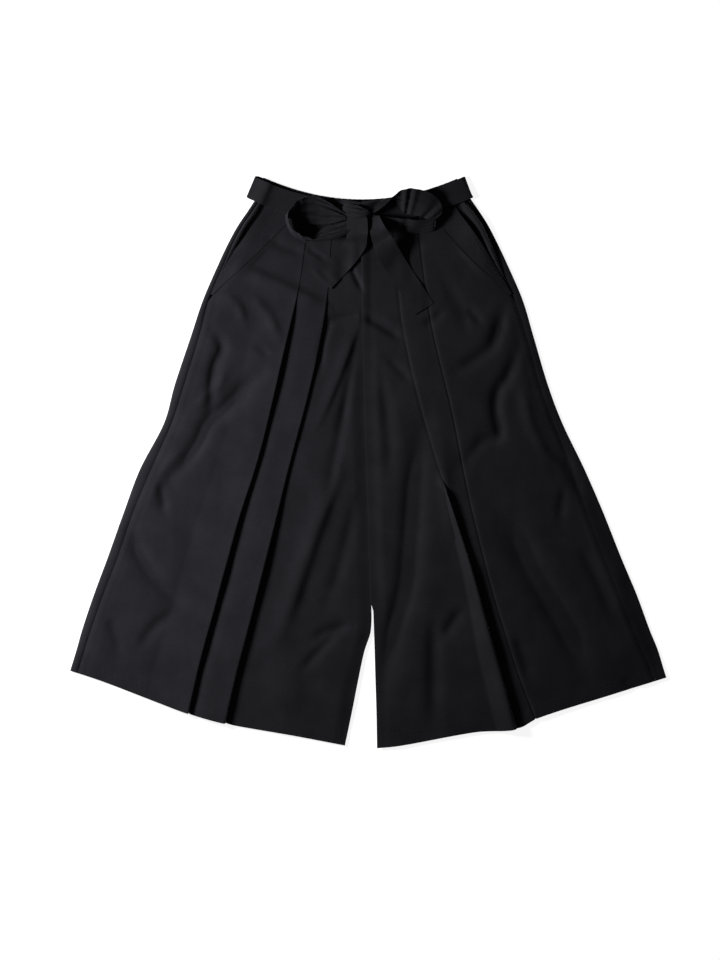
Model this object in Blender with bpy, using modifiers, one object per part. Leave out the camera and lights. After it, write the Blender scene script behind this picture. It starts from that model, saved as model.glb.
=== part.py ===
"""Hakama trousers with their own sash, laid flat with the front up.

Tables and sizes are in millimetres and become metres where a mesh is made. X runs across the
legs, Y runs up to the waist and Z is up from the surface. Left and right are the viewer's.
The cloth is a wall of one thickness. Its layers lie on each other, one LAYER apart: the back
leg, then the front leg, whose knife pleats add two more layers where the cloth turns back.
"""

import math
from collections import namedtuple

import bmesh
import bpy
from mathutils import Vector

MM = 0.001

# Cloth and how its layers lie
CLOTH = 1.4
AIR = 0.4
LAYER = CLOTH + AIR
SEAM_GAP = 0.3
FACING_GAP = 0.4
REST = CLOTH / 2
FRONT_REST = REST + LAYER

# Waist: two bands on one curve, lower in the middle than at the hips
WAIST_MIDDLE = -11
WAIST_TOP_HALF = 161
WAIST_SEAM_HALF = 176
WAIST_TOP_LOW = 426
WAIST_TOP_RISE = 36.5
WAIST_SEAM_LOW = 389
WAIST_SEAM_RISE = 40
BACK_BAND_THICK = 2.6
FRONT_BAND_THICK = 2.2
BACK_BAND_REST = CLOTH + AIR + BACK_BAND_THICK / 2
FRONT_BAND_REST = BACK_BAND_REST + BACK_BAND_THICK / 2 + AIR + FRONT_BAND_THICK / 2
FRONT_BAND_START = 0.16
FRONT_BAND_COLUMNS = 16
FRONT_BAND_SHORT = 0.012
FRONT_BAND_DOWN = (FRONT_BAND_START + 0.02, 0.6, 1.0)
BAND_LEFT = -0.985
BAND_RIGHT = 0.96
GATHERS = 36
GATHER_RISE = 1.8
GATHER_CRINKLE = 0.7

# Sash: the belt lies over both bands, and its bow stands on it
BELT_REST = FRONT_BAND_REST + FRONT_BAND_THICK / 2 + AIR + CLOTH / 2
BELT_WIDTH = 36
BELT_GATHERED = 24
BOW_CLOTH = 1.6
BOW_REST = BELT_REST + CLOTH / 2 + AIR
KNOT_CENTRE = (-18.5, 396)
KNOT_SIZE = (34, 48, 20)

# Legs: rows are level from LEVEL_FROM to LEVEL_TO of the length, and bend to the waist seam above
# and to the hem below
LEG_ROWS = 26
LEG_TOP = 400
LEG_END = -405
LEVEL_FROM = 0.2
LEVEL_TO = 0.6
CROTCH = 232
CURVE_STEPS = 4
PANEL_COLUMNS = 6
CENTRE_COLUMNS = 6
BACK_COLUMNS = 4
BACK_INNER_SHORT = 1.0
STITCHED_TO = 290
FOLD_RISE = 3.0
FOLD_RISE_RUN = 120
UNDER_HEM = 3
SLOPE = 12
TURN_OVER = 2
TURN_FULL = 4
SIDE_ROLL = 1.2

# How far the front stands off the back in the middle of a panel, and where that fades out
LOFT = 4.5
SIDE_FADE = 38
INSEAM_FADE = 24
INSEAM_LOFT = 0.35
HEM_LOFT = 0.5
WAIST_FADE = 90
HEM_FADE = 70

# Pocket
MOUTH_LIFT = 5.0
HIP_PANEL_UNDER = 14
HIP_PANEL_CLEAR = 4
HIP_PANEL_COLUMNS = 3
FACING_COLUMNS = 4
POCKET_ROWS = 9
POCKET_END = 272
HIP_PANEL_END = 284
MOUTH_OPEN_SHARE = 0.66

# A row for each section down a leg. edge is the side fold, seam the side seam, front the front
# panel's outer edge, mouth the pocket's edge, then the two pleats' fold edges and the inner edge.
# deep_1 and deep_2 are how far each pleat turns back, below zero where it lies the other way.
Section = namedtuple(
    "Section", "along edge seam front mouth fold_1 fold_2 inner lift deep_1 deep_2"
)
LEFT_LEG = [Section(*row) for row in (
    (432, -179, -172, -92, -164, -95, -56, -9.4, 1, 4, 18),
    (406, -196, -188.5, -111, -168, -96, -57, -9.4, 1, 5, 20),
    (384, -211, -203.5, -133, -186, -99.5, -59, -9.3, 1, 13, 21),
    (357, -226, -218, -160, -206, -102, -61, -9.2, 1, 20, 22),
    (321, -243, -234, -197, -233, -106, -62, -9.2, 1, 22, 24),
    (263, -268, -259, -257, -259, -116, -67, -8.7, 0, 24, 26),
    (206, -287, -274, -274, -274, -130, -75, -7.7, 0, 26, 28),
    (125, -314, -299, -299, -299, -148, -93, -5.7, 0, 28, 30),
    (64, -331, -319, -319, -319, -162, -109, -4.2, 0, 30, 30),
    (-11, -370, -352, -352, -352, -182, -129, -1.7, 0, 32, 32),
    (-80, -396, -381, -381, -381, -206, -145, 0.7, 0, 34, 34),
    (-153, -422, -406, -406, -406, -225, -164, 2.8, 0, 36, 36),
    (-215, -445, -430, -430, -430, -242, -180, 4.4, 0, 36, 38),
    (-272, -464, -450, -450, -450, -257, -194, 4.0, 0, 38, 38),
    (-304, -473, -460, -460, -460, -268, -203, -6, 0, 38, 40),
    (-340, -484, -471, -471, -471, -276, -212, -14, 0, 40, 40),
    (-406, -504, -490, -490, -490, -291, -228, -27, 0, 40, 40),
    (-463, -522, -508, -508, -508, -305, -242, -39, 0, 40, 40),
)]
RIGHT_LEG = [Section(*row) for row in (
    (432, 162, 152, 79, 132, 77, 39, -8.8, 1, 4, 18),
    (406, 180, 171, 97, 146, 79, 40, -8.8, 1, 5, 20),
    (384, 194, 185.5, 116, 162, 81.5, 41, -8.7, 1, 13, 21),
    (357, 208, 198, 139, 181, 84, 43, -8.6, 1, 20, 22),
    (321, 225, 213, 174, 203, 88, 46, -8.6, 1, 22, 24),
    (263, 250, 237, 235, 237, 96, 50, -8.1, 0, 24, 26),
    (206, 267, 256, 256, 256, 106, 58, -7.1, 0, 26, 28),
    (125, 291, 278, 278, 278, 126, 76, -5.1, 0, 28, 24),
    (64, 314, 300, 300, 300, 140, 93, -3.6, 0, 24, 18),
    (-11, 350, 330, 330, 330, 154, 115, -1.1, 0, 20, 3),
    (-80, 380, 353, 353, 353, 169, 138, 1.3, 0, 18, -9),
    (-153, 409, 381, 381, 381, 187, 163, 3.4, 0, 14, -16),
    (-215, 435, 406, 406, 406, 203, 181, 7, 0, 16, -22),
    (-272, 456, 429, 429, 429, 221, 196, 9, 0, 18, -28),
    (-304, 469, 443, 443, 443, 231, 205, 10, 0, 20, -32),
    (-340, 480, 459, 459, 459, 242, 215, 11, 0, 22, -34),
    (-406, 502, 482, 482, 482, 268, 233, 13, 0, 24, -36),
    (-463, 519, 503, 503, 503, 289, 249, 14, 0, 24, -38),
)]

# Where the hem lies, from each leg's outer corner to its inner one
HemPlace = namedtuple("HemPlace", "x y")
LEFT_HEM = [HemPlace(*row) for row in (
    (-500, -332), (-435, -353), (-338, -390), (-291, -407), (-232, -423), (-119, -443), (-20, -462),
)]
RIGHT_HEM = [HemPlace(*row) for row in (
    (0, -464), (51, -459), (173, -437), (240, -432), (275, -414), (391, -377), (500, -343),
)]

# The largest folds: a ridge where height is above zero and a trough where it is below
Crease = namedtuple("Crease", "x0 y0 x1 y1 height reach")
CREASES = [Crease(*row) for row in (
    (-192, 321, -65, 263, -2.2, 13),
    (-249, 213, -260, 85, -2.6, 11),
    (-185, 135, -262, 62, -3.2, 14),
    (-262, 62, -321, -22, -3.0, 14),
    (-383, -105, -338, -198, -2.8, 13),
    (-338, -198, -278, -236, -2.6, 13),
    (-16, 222, -80, 62, 2.6, 12),
    (-22, 190, -45, 56, -2.6, 9),
    (-48, -19, -140, -276, 2.8, 16),
    (-90, -290, -28, -265, -2.0, 10),
    (-7, 235, 53, 201, -2.4, 10),
    (90, 64, 66, -160, -3.4, 17),
    (66, -160, 21, -374, -3.0, 19),
    (106, -244, 106, -432, -2.2, 13),
    (220, 247, 197, 179, -2.8, 12),
    (197, 179, 145, 148, -2.8, 12),
    (245, 189, 210, 119, -2.6, 11),
    (210, 119, 210, 35, -2.8, 11),
    (210, 35, 160, 4, -2.6, 11),
    (325, -1, 344, -45, -2.8, 9),
    (210, -76, 290, -215, -3.2, 22),
    (290, -215, 354, -348, -3.0, 22),
)]

# Sash, from the knot round each hip to the back. A row for each station of its middle line.
BeltPlace = namedtuple("BeltPlace", "x y z wide")
BELT_LEFT = [BeltPlace(*row) for row in (
    (-37, 405, BELT_REST, BELT_GATHERED),
    (-54, 406.5, BELT_REST, 29),
    (-91, 412, BELT_REST, BELT_WIDTH),
    (-127, 420.5, BELT_REST, BELT_WIDTH),
    (-159, 431, BELT_REST, BELT_WIDTH),
    (-182.5, 441.5, BELT_REST, BELT_WIDTH),
    (-188, 444, BELT_REST - 1.2, BELT_WIDTH),
    (-190, 446, (BELT_REST + REST) / 2, BELT_WIDTH - 1),
    (-188, 448, REST + 1.2, BELT_WIDTH - 2),
    (-182.5, 447, REST, BELT_WIDTH - 2),
    (-172, 442.4, REST, BELT_WIDTH - 2),
)]
BELT_RIGHT = [BeltPlace(*row) for row in (
    (-0.5, 404, BELT_REST, BELT_GATHERED),
    (22, 406, BELT_REST, 30),
    (54, 411, BELT_REST, BELT_WIDTH),
    (96, 421.5, BELT_REST, BELT_WIDTH),
    (130, 432.5, BELT_REST, BELT_WIDTH),
    (155, 442, BELT_REST, BELT_WIDTH),
    (160, 444.2, BELT_REST - 1.2, BELT_WIDTH),
    (162, 446, (BELT_REST + REST) / 2, BELT_WIDTH - 1),
    (160, 446.8, REST + 1.2, BELT_WIDTH - 2),
    (155, 444.6, REST, BELT_WIDTH - 2),
    (146, 440.7, REST, BELT_WIDTH - 2),
)]
BELT_BACK_REACH = 0.925
BELT_BACK_STATIONS = 15
BELT_BACK_DOWN = (0.06, 0.5, 0.96)
BELT_CURVED_LEAST = 3

# Bow loops stand on one edge. x and y place the upper edge, lean is how far the lower edge lies
# towards the hem, and low and high are how far the two edges stand off the belt.
LoopPlace = namedtuple("LoopPlace", "x y lean low high")
LOOP_LEFT = [LoopPlace(*row) for row in (
    (-36.6, 403, 3, 6, 16),
    (-50, 413, 7, 3, 22),
    (-66, 420, 11, 1, 27),
    (-88, 427.5, 15, 0, 30),
    (-108, 426, 15, 0, 31),
    (-124, 415, 12, 0, 31),
    (-132.5, 398, 7, 0, 30),
    (-128, 380, 5, 0, 28),
    (-112, 367, 6, 0, 26),
    (-94, 363, 8, 0, 24),
    (-74, 368, 9, 1, 22),
    (-54, 378, 7, 3, 19),
    (-36.6, 387, 4, 6, 15),
)]
LOOP_RIGHT = [LoopPlace(*row) for row in (
    (-0.4, 402, 3, 6, 16),
    (10, 414, 6, 3, 21),
    (24, 426, 10, 1, 26),
    (44, 437, 14, 0, 30),
    (64, 441, 16, 0, 30),
    (88, 436, 15, 0, 29),
    (107, 426, 12, 0, 28),
    (118, 409, 8, 0, 27),
    (116, 396, 10, 0, 24),
    (102, 388, 14, 0, 21),
    (78, 385, 15, 0, 18),
    (50, 387, 12, 0, 16),
    (22, 391, 7, 3, 15),
    (-0.4, 390, 3, 6, 14),
)]
LOOP_BELLY = 2.5
LOOP_COLUMNS = 4

# Sash tails fall from the knot to the legs. sink is how far down that fall each station is.
TailPlace = namedtuple("TailPlace", "x y wide turn sink")
TAIL_LEFT = [TailPlace(*row) for row in (
    (-18, 371, 33, 0, 0.0),
    (-19, 362, 34, 0, 0.35),
    (-22, 352, 36, -16, 0.7),
    (-34, 335, 35, -41, 0.92),
    (-48, 320, 36, -41, 1.0),
    (-63, 304.5, 36, -41, 1.0),
    (-74.5, 292, 36, -41, 1.0),
)]
TAIL_RIGHT = [TailPlace(*row) for row in (
    (12, 376, 22, 24, 0.0),
    (20, 360, 32, 30, 0.3),
    (29, 344, 36, 32, 0.62),
    (45, 318, 36, 32, 0.88),
    (62, 291.5, 36, 32, 1.0),
    (77, 268.5, 36, 32, 1.0),
    (90, 248, 36, 32, 1.0),
)]
TAIL_START = 16
TAIL_CLEAR = 18
TAIL_COLUMNS = 4

BLACK_PANEL = (0.0166, 0.0168, 0.0203)
BLACK_BAND = (0.0123, 0.0126, 0.0144)
BLACK_SASH = (0.0142, 0.0146, 0.0168)


def smooth(value):
    """Ease from 0 to 1 as value goes from 0 to 1, and stay there outside."""
    held = min(max(value, 0.0), 1.0)
    return held * held * (3 - 2 * held)


def mix(low, high, share):
    """The number that lies at share of the way from low to high."""
    return low + (high - low) * share


def along_rows(rows, key, place, value):
    """Read a column of a table where key equals place, on a smooth curve through its rows."""
    keys = [getattr(row, key) for row in rows]
    values = [getattr(row, value) for row in rows]
    rising = keys[-1] > keys[0]
    last = len(keys) - 2
    step = 0
    while step < last and (place > keys[step + 1] if rising else place < keys[step + 1]):
        step += 1
    share = (place - keys[step]) / (keys[step + 1] - keys[step])
    share = min(max(share, 0.0), 1.0)
    run = keys[step + 1] - keys[step]

    def slope(index):
        before = max(index - 1, 0)
        after = min(index + 1, len(keys) - 1)
        return (values[after] - values[before]) / (keys[after] - keys[before])

    start = slope(step) * run
    end = slope(step + 1) * run
    low = values[step]
    high = values[step + 1]
    bend = start + end - 2 * (high - low)
    lean = 3 * (high - low) - 2 * start - end
    return low + share * (start + share * (lean + share * bend))


def section_at(rows, along):
    """The section of a leg at a place along it."""
    names = [name for name in Section._fields if name != "along"]
    return Section(along, *(along_rows(rows, "along", along, name) for name in names))


def side_seam(side, along):
    """How far out the side seam lies."""
    return side * section_at(LEFT_LEG if side < 0 else RIGHT_LEG, along).seam


def front_edge(side, along):
    """How far out the front panel reaches: to the pocket facing, and below it to the side seam."""
    here = section_at(LEFT_LEG if side < 0 else RIGHT_LEG, along)
    return min(side * here.front, side * here.seam)


def waist_seam(x):
    """Where the legs are sewn to the waistbands."""
    return WAIST_SEAM_LOW + WAIST_SEAM_RISE * ((x - WAIST_MIDDLE) / WAIST_SEAM_HALF) ** 2


def hem_line(side, x):
    """Where a leg's hem lies."""
    return along_rows(LEFT_HEM if side < 0 else RIGHT_HEM, "x", x, "y")


def creases_at(x, y):
    """Height of the largest folds at a place on the front."""
    total = 0.0
    for crease in CREASES:
        run_x = crease.x1 - crease.x0
        run_y = crease.y1 - crease.y0
        length = math.hypot(run_x, run_y)
        share = ((x - crease.x0) * run_x + (y - crease.y0) * run_y) / length**2
        aside = ((x - crease.x0) * run_y - (y - crease.y0) * run_x) / length
        past = max(-share, share - 1, 0.0) * length
        total += crease.height * math.exp(-((aside / crease.reach) ** 2 + (past / crease.reach) ** 2))
    return total


def relief(side, x, y):
    """How far the front panel stands off its flat level."""
    here = section_at(LEFT_LEG if side < 0 else RIGHT_LEG, y)
    fade = smooth((side * (here.edge - x)) / SIDE_FADE)
    fade *= smooth((waist_seam(x) - y) / WAIST_FADE)
    if y < CROTCH:
        inward = smooth(side * (x - here.inner) / INSEAM_FADE)
        fade *= mix(1.0, mix(INSEAM_LOFT, 1.0, inward), smooth((CROTCH - y) / WAIST_FADE))
    fade *= mix(HEM_LOFT, 1.0, smooth((y - hem_line(side, x)) / HEM_FADE))
    return max(LOFT + creases_at(x, y), 0.0) * fade


def fold_rise(along):
    """How far a pleat's fold edge rolls up, below where it is stitched down."""
    return FOLD_RISE * smooth((STITCHED_TO - along) / FOLD_RISE_RUN)


def pleat_path(fold, deep, rise):
    """The pleat's section as (place, level, share of the under hem), from the side inwards.

    Places are distances from the middle of the garment. A pleat with deep above zero lies with
    its fold edge inwards and one below zero with its fold edge outwards. Between them the cloth
    steps over a low ridge, which turns over without crossing itself.
    """
    turned = min(max(deep / TURN_OVER, -1.0), 1.0)
    under = abs(deep)
    flat = (
        (SLOPE, 0.0), (3, 1 + turned), (1, 1 + turned), (0.3, 1 + 0.7 * turned),
        (0.1, 1 + 0.2 * turned), (-0.1, 1 - 0.2 * turned), (-0.3, 1 - 0.7 * turned),
        (-1, 1 - turned), (-3, 1 - turned), (-SLOPE, 0.0),
    )
    lifted = 2 + rise / LAYER
    folded = (
        (under + SLOPE, 0.0), (under + 1.5, 2.0), (1.2, lifted), (0.0, 0.5 + lifted / 2),
        (1.2, 1.0), (under - 1, 1.0), (under, 0.5), (under - 1, 0.0), (1.2, 0.0), (-SLOPE, 0.0),
    )
    if deep < 0:
        folded = tuple((-place, level) for place, level in reversed(folded))
    opened = min(max((under - TURN_OVER) / (TURN_FULL - TURN_OVER), 0.0), 1.0)
    shortened = (0, 0, 0, 0.5, 1, 1, 1, 1, 0.5, 0)
    if deep < 0:
        shortened = shortened[::-1]
    return [
        (fold + mix(flat[k][0], folded[k][0], opened), mix(flat[k][1], folded[k][1], opened), shortened[k])
        for k in range(len(flat))
    ]


def front_path(side, along):
    """The front panel's section from its outer edge to its inner one."""
    here = section_at(LEFT_LEG if side < 0 else RIGHT_LEG, along)
    rise = fold_rise(along)
    outer = pleat_path(side * here.fold_1, here.deep_1, rise)
    inner = pleat_path(side * here.fold_2, here.deep_2, rise)
    start = front_edge(side, along) - SEAM_GAP / 2
    room = start - outer[1][0]
    ease = here.lift * smooth((2 * SLOPE - room) / SLOPE)
    outer[0] = (min(outer[0][0], start - room / 2), ease, 0)
    path = [
        (
            mix(start, outer[0][0], k / PANEL_COLUMNS),
            mix(here.lift, ease, smooth(2 * k / PANEL_COLUMNS)),
            0,
        )
        for k in range(PANEL_COLUMNS)
    ]
    path += outer
    path.append(((outer[-1][0] + inner[0][0]) / 2, 0.0, 0))
    path += inner
    end = side * here.inner + SEAM_GAP / 2
    path += [
        (mix(inner[-1][0], end, k / CENTRE_COLUMNS), 0.0, 0) for k in range(1, CENTRE_COLUMNS + 1)
    ]
    return path


def back_path(side, along):
    """The back panel's section from its inner edge, flat to the side fold and back to the seam."""
    here = section_at(LEFT_LEG if side < 0 else RIGHT_LEG, along)
    inner = side * here.inner + BACK_INNER_SHORT
    edge = side * here.edge - CLOTH / 2
    seam = side_seam(side, along) + SEAM_GAP / 2
    path = [
        (mix(inner, edge - SIDE_ROLL, k / BACK_COLUMNS), 0.0, 1) for k in range(BACK_COLUMNS + 1)
    ]
    path += [(edge, 0.5, 0), (edge - SIDE_ROLL, 1.0, 0), (mix(edge - SIDE_ROLL, seam, 0.5), 1.0, 0)]
    path.append((seam, 1.0, 0))
    return path


def column_ends(side, place_at, under_at=lambda along: 0):
    """Where a column of a leg panel starts at the waist seam and ends at the hem."""
    top = WAIST_SEAM_LOW
    hem = LEG_END
    for _ in range(CURVE_STEPS):
        top = waist_seam(side * place_at(top)) - SEAM_GAP
        hem = hem_line(side, side * place_at(hem)) + UNDER_HEM * under_at(hem)
    return top, hem


def row_place(top, hem, step):
    """Where a column that runs from top to hem crosses one of a leg's rows."""
    down = step / LEG_ROWS
    near_waist = smooth(1 - down / LEVEL_FROM)
    near_hem = smooth((down - LEVEL_TO) / (1 - LEVEL_TO))
    level = mix(LEG_TOP, LEG_END, down)
    return level + (top - LEG_TOP) * near_waist + (hem - LEG_END) * near_hem


def seam_place(side, place_at, along):
    """A seam's place between two rows of a leg, on the straight edge that the leg's wall has."""
    top, hem = column_ends(side, place_at)
    step = 0
    while step < LEG_ROWS - 1 and row_place(top, hem, step + 1) > along:
        step += 1
    above = row_place(top, hem, step)
    below = row_place(top, hem, step + 1)
    return mix(place_at(above), place_at(below), (above - along) / (above - below))


def leg_rows(side, path_at, height_at):
    """Rows of points for a leg panel, from the waist seam down to the hem."""
    count = len(path_at(side, 0.0))
    ends = [
        column_ends(side, lambda y, k=k: path_at(side, y)[k][0], lambda y, k=k: path_at(side, y)[k][2])
        for k in range(count)
    ]
    rows = []
    for step in range(LEG_ROWS + 1):
        row = []
        for k, (top, hem) in enumerate(ends):
            y = row_place(top, hem, step)
            place, level, _ = path_at(side, y)[k]
            row.append((side * place, y, height_at(side, side * place, y, level)))
        rows.append(row)
    return rows


def front_height(side, x, y, level):
    """Height of the front panel's middle surface."""
    return FRONT_REST + level * LAYER + relief(side, x, y)


def back_height(side, x, y, level):
    """Height of the back panel: flat below, and level with the front where it wraps round."""
    return REST + level * (LAYER + relief(side, x, y))


def front_top(x, y):
    """Height of the highest layer of the front at a place, pleats included."""
    side = -1 if x < WAIST_MIDDLE else 1
    path = front_path(side, y)
    highest = 0.0
    for (place_a, level_a, _), (place_b, level_b, _) in zip(path, path[1:]):
        low = min(place_a, place_b)
        high = max(place_a, place_b)
        if low <= side * x <= high and high > low:
            share = (side * x - place_a) / (place_b - place_a)
            highest = max(highest, mix(level_a, level_b, share))
    return front_height(side, x, y, highest)


def clear_top(x, y, reach):
    """The highest that the front comes within reach of a place."""
    places = [(x, y)]
    for k in range(8):
        angle = k * math.pi / 4
        places.append((x + reach * math.cos(angle), y + reach * math.sin(angle)))
    return max(front_top(*place) for place in places)


def cloth_material(name, colour):
    """A matt black cloth."""
    material = bpy.data.materials.new(name)
    material.use_nodes = True
    shader = material.node_tree.nodes["Principled BSDF"]
    shader.inputs["Base Color"].default_value = (*colour, 1.0)
    shader.inputs["Roughness"].default_value = 0.85
    shader.inputs["Metallic"].default_value = 0.0
    return material


def finish_piece(piece, collection, colour):
    """Give a piece its collection, material and smooth shading."""
    for owner in list(piece.users_collection):
        owner.objects.unlink(piece)
    collection.objects.link(piece)
    piece.data.materials.clear()
    piece.data.materials.append(cloth_material(piece.name + "_cloth", colour))
    piece.data.shade_smooth()
    piece.data.set_sharp_from_angle(angle=math.radians(50))


def add_sheet(name, rows, thickness, collection, colour):
    """Make a cloth wall round rows of points on its middle surface."""
    across = len(rows[0])
    grid = bmesh.new()
    bmesh.ops.create_grid(grid, x_segments=across - 1, y_segments=len(rows) - 1, size=1.0)
    grid.verts.ensure_lookup_table()
    for index, vertex in enumerate(grid.verts):
        vertex.co = Vector(rows[index // across][index % across]) * MM
    mesh = bpy.data.meshes.new(name)
    grid.to_mesh(mesh)
    grid.free()
    piece = bpy.data.objects.new(name, mesh)
    bpy.context.scene.collection.objects.link(piece)
    wall = piece.modifiers.new("cloth wall", "SOLIDIFY")
    wall.thickness = thickness * MM
    wall.offset = 0.0
    finish_piece(piece, collection, colour)
    return piece


def waist_point(across, down):
    """A place on the waist's ruled curve: across from -1 to 1, down from its top to its seam."""
    top_x = WAIST_MIDDLE + WAIST_TOP_HALF * across
    top_y = WAIST_TOP_LOW + WAIST_TOP_RISE * across**2
    seam_x = WAIST_MIDDLE + WAIST_SEAM_HALF * across
    return mix(top_x, seam_x, down), mix(top_y, waist_seam(seam_x), down)


def back_band_rows():
    """The elastic back waistband, gathered along its top edge."""
    columns = GATHERS * 4
    rows = []
    for down in (0.0, FRONT_BAND_START / 2, FRONT_BAND_START, 1.0):
        loose = max(1 - down / FRONT_BAND_START, 0.0)
        row = []
        for k in range(columns + 1):
            x, y = waist_point(mix(BAND_LEFT, BAND_RIGHT, k / columns), down)
            wave = 0.5 - 0.5 * math.cos(k * math.pi / 2)
            y -= GATHER_CRINKLE * wave * loose
            row.append((x, y, BACK_BAND_REST + GATHER_RISE * wave * loose))
        rows.append(row)
    return rows


def front_band_rows():
    """The plain front waistband, below the back one's top edge and over it."""
    stations = [
        mix(BAND_LEFT + FRONT_BAND_SHORT, BAND_RIGHT - FRONT_BAND_SHORT, k / FRONT_BAND_COLUMNS)
        for k in range(FRONT_BAND_COLUMNS + 1)
    ]
    return [
        [(*waist_point(across, down), FRONT_BAND_REST) for across in stations]
        for down in FRONT_BAND_DOWN
    ]


def ribbon_rows(places):
    """A band of cloth on a middle line, with its width square to the line as seen from above.

    Where the band folds back under itself, its width keeps the direction it has before the fold.
    """
    rows = []
    for k, place in enumerate(places):
        before = places[max(k - 1, 0)]
        after = places[min(k + 1, len(places) - 1)]
        run = Vector((after.x - before.x, after.y - before.y))
        if run.length < BELT_CURVED_LEAST or place.z < BELT_REST - 1:
            run = Vector((places[4].x - places[5].x, places[4].y - places[5].y))
        if run.x * (places[0].x - places[-1].x) < 0:
            run.negate()
        aside = Vector((-run.y, run.x)).normalized() * place.wide / 2
        rows.append([
            (place.x + aside.x * share, place.y + aside.y * share, place.z) for share in (-1, 0, 1)
        ])
    return rows


def belt_back_rows():
    """The hidden stretch of the belt, flat under the back waistband."""
    rows = []
    for k in range(BELT_BACK_STATIONS):
        across = BELT_BACK_REACH * (2 * k / (BELT_BACK_STATIONS - 1) - 1)
        rows.append([(*waist_point(across, down), REST) for down in BELT_BACK_DOWN])
    return rows


def loop_rows(places):
    """A bow loop: a band that stands on its lower edge, with a soft belly."""
    middle_x = sum(place.x for place in places) / len(places)
    middle_y = sum(place.y for place in places) / len(places)
    rows = []
    for k, place in enumerate(places):
        outward = Vector((place.x - middle_x, place.y - middle_y)).normalized()
        loose = math.sin(math.pi * k / (len(places) - 1))
        row = []
        for step in range(LOOP_COLUMNS + 1):
            share = step / LOOP_COLUMNS
            belly = LOOP_BELLY * loose * math.sin(math.pi * share)
            row.append((
                place.x + outward.x * belly,
                place.y - place.lean * (1 - share) + outward.y * belly,
                BOW_REST + BOW_CLOTH / 2 + mix(place.low, place.high, share),
            ))
        rows.append(row)
    return rows


def tail_rows(places):
    """A sash tail that falls from the knot and lies on the pleats."""
    rows = []
    for place in places:
        angle = math.radians(place.turn)
        aside = Vector((math.cos(angle), math.sin(angle))) * place.wide / 2
        row = []
        for step in range(TAIL_COLUMNS + 1):
            share = 2 * step / TAIL_COLUMNS - 1
            x = place.x + aside.x * share
            y = place.y + aside.y * share
            lain = clear_top(x, y, TAIL_CLEAR) + LAYER
            row.append((x, y, max(mix(BOW_REST + TAIL_START, lain, smooth(place.sink)), lain)))
        rows.append(row)
    return rows


def pocket_band_rows(side):
    """The facing sewn along the pocket's mouth, which stands open a little."""
    rows = []
    for step in range(POCKET_ROWS + 1):
        share = step / POCKET_ROWS
        row = []
        for k in range(FACING_COLUMNS + 1):
            y = WAIST_SEAM_LOW
            inward = k / FACING_COLUMNS
            for _ in range(CURVE_STEPS):
                seam = seam_place(side, lambda along: side_seam(side, along), y)
                mouth = side * section_at(LEFT_LEG if side < 0 else RIGHT_LEG, y).mouth
                inner = seam_place(side, lambda along: front_edge(side, along), y)
                place = mix(min(mouth, seam - SEAM_GAP / 2), inner + FACING_GAP, inward)
                y = mix(waist_seam(side * place) - SEAM_GAP, POCKET_END, share)
            opened = math.sin(math.pi * smooth(share / MOUTH_OPEN_SHARE))
            lift = MOUTH_LIFT * opened * (1 - inward) ** 2
            row.append((side * place, y, FRONT_REST + LAYER + relief(side, side * place, y) + lift))
        rows.append(row)
    return rows


def hip_panel_rows(side):
    """The panel behind the pocket's mouth, from the side seam to under the facing."""
    rows = []
    for step in range(POCKET_ROWS + 1):
        share = step / POCKET_ROWS
        row = []
        for k in range(HIP_PANEL_COLUMNS + 1):
            y = WAIST_SEAM_LOW
            for _ in range(CURVE_STEPS):
                here = section_at(LEFT_LEG if side < 0 else RIGHT_LEG, y)
                outer = seam_place(side, lambda along: side_seam(side, along), y) - SEAM_GAP / 2
                under = max(side * here.mouth - HIP_PANEL_UNDER, front_edge(side, y) + HIP_PANEL_CLEAR)
                place = mix(outer, min(under, outer - HIP_PANEL_CLEAR), k / HIP_PANEL_COLUMNS)
                y = mix(waist_seam(side * place) - SEAM_GAP, HIP_PANEL_END, share)
            row.append((side * place, y, FRONT_REST + relief(side, side * place, y)))
        rows.append(row)
    return rows


def add_knot(collection):
    """The knot of the bow, a soft block with rounded corners."""
    cage = bmesh.new()
    bmesh.ops.create_cube(cage, size=1.0)
    bmesh.ops.subdivide_edges(cage, edges=cage.edges[:], cuts=1, use_grid_fill=True)
    middle = Vector((*KNOT_CENTRE, BOW_REST + KNOT_SIZE[2] / 2))
    for vertex in cage.verts:
        corner = vertex.co.copy()
        vertex.co = MM * Vector(middle[k] + corner[k] * KNOT_SIZE[k] for k in range(3))
    mesh = bpy.data.meshes.new("knot")
    cage.to_mesh(mesh)
    cage.free()
    knot = bpy.data.objects.new("knot", mesh)
    bpy.context.scene.collection.objects.link(knot)
    round_off = knot.modifiers.new("soft corners", "SUBSURF")
    round_off.levels = 1
    round_off.render_levels = 1
    finish_piece(knot, collection, BLACK_SASH)


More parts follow.
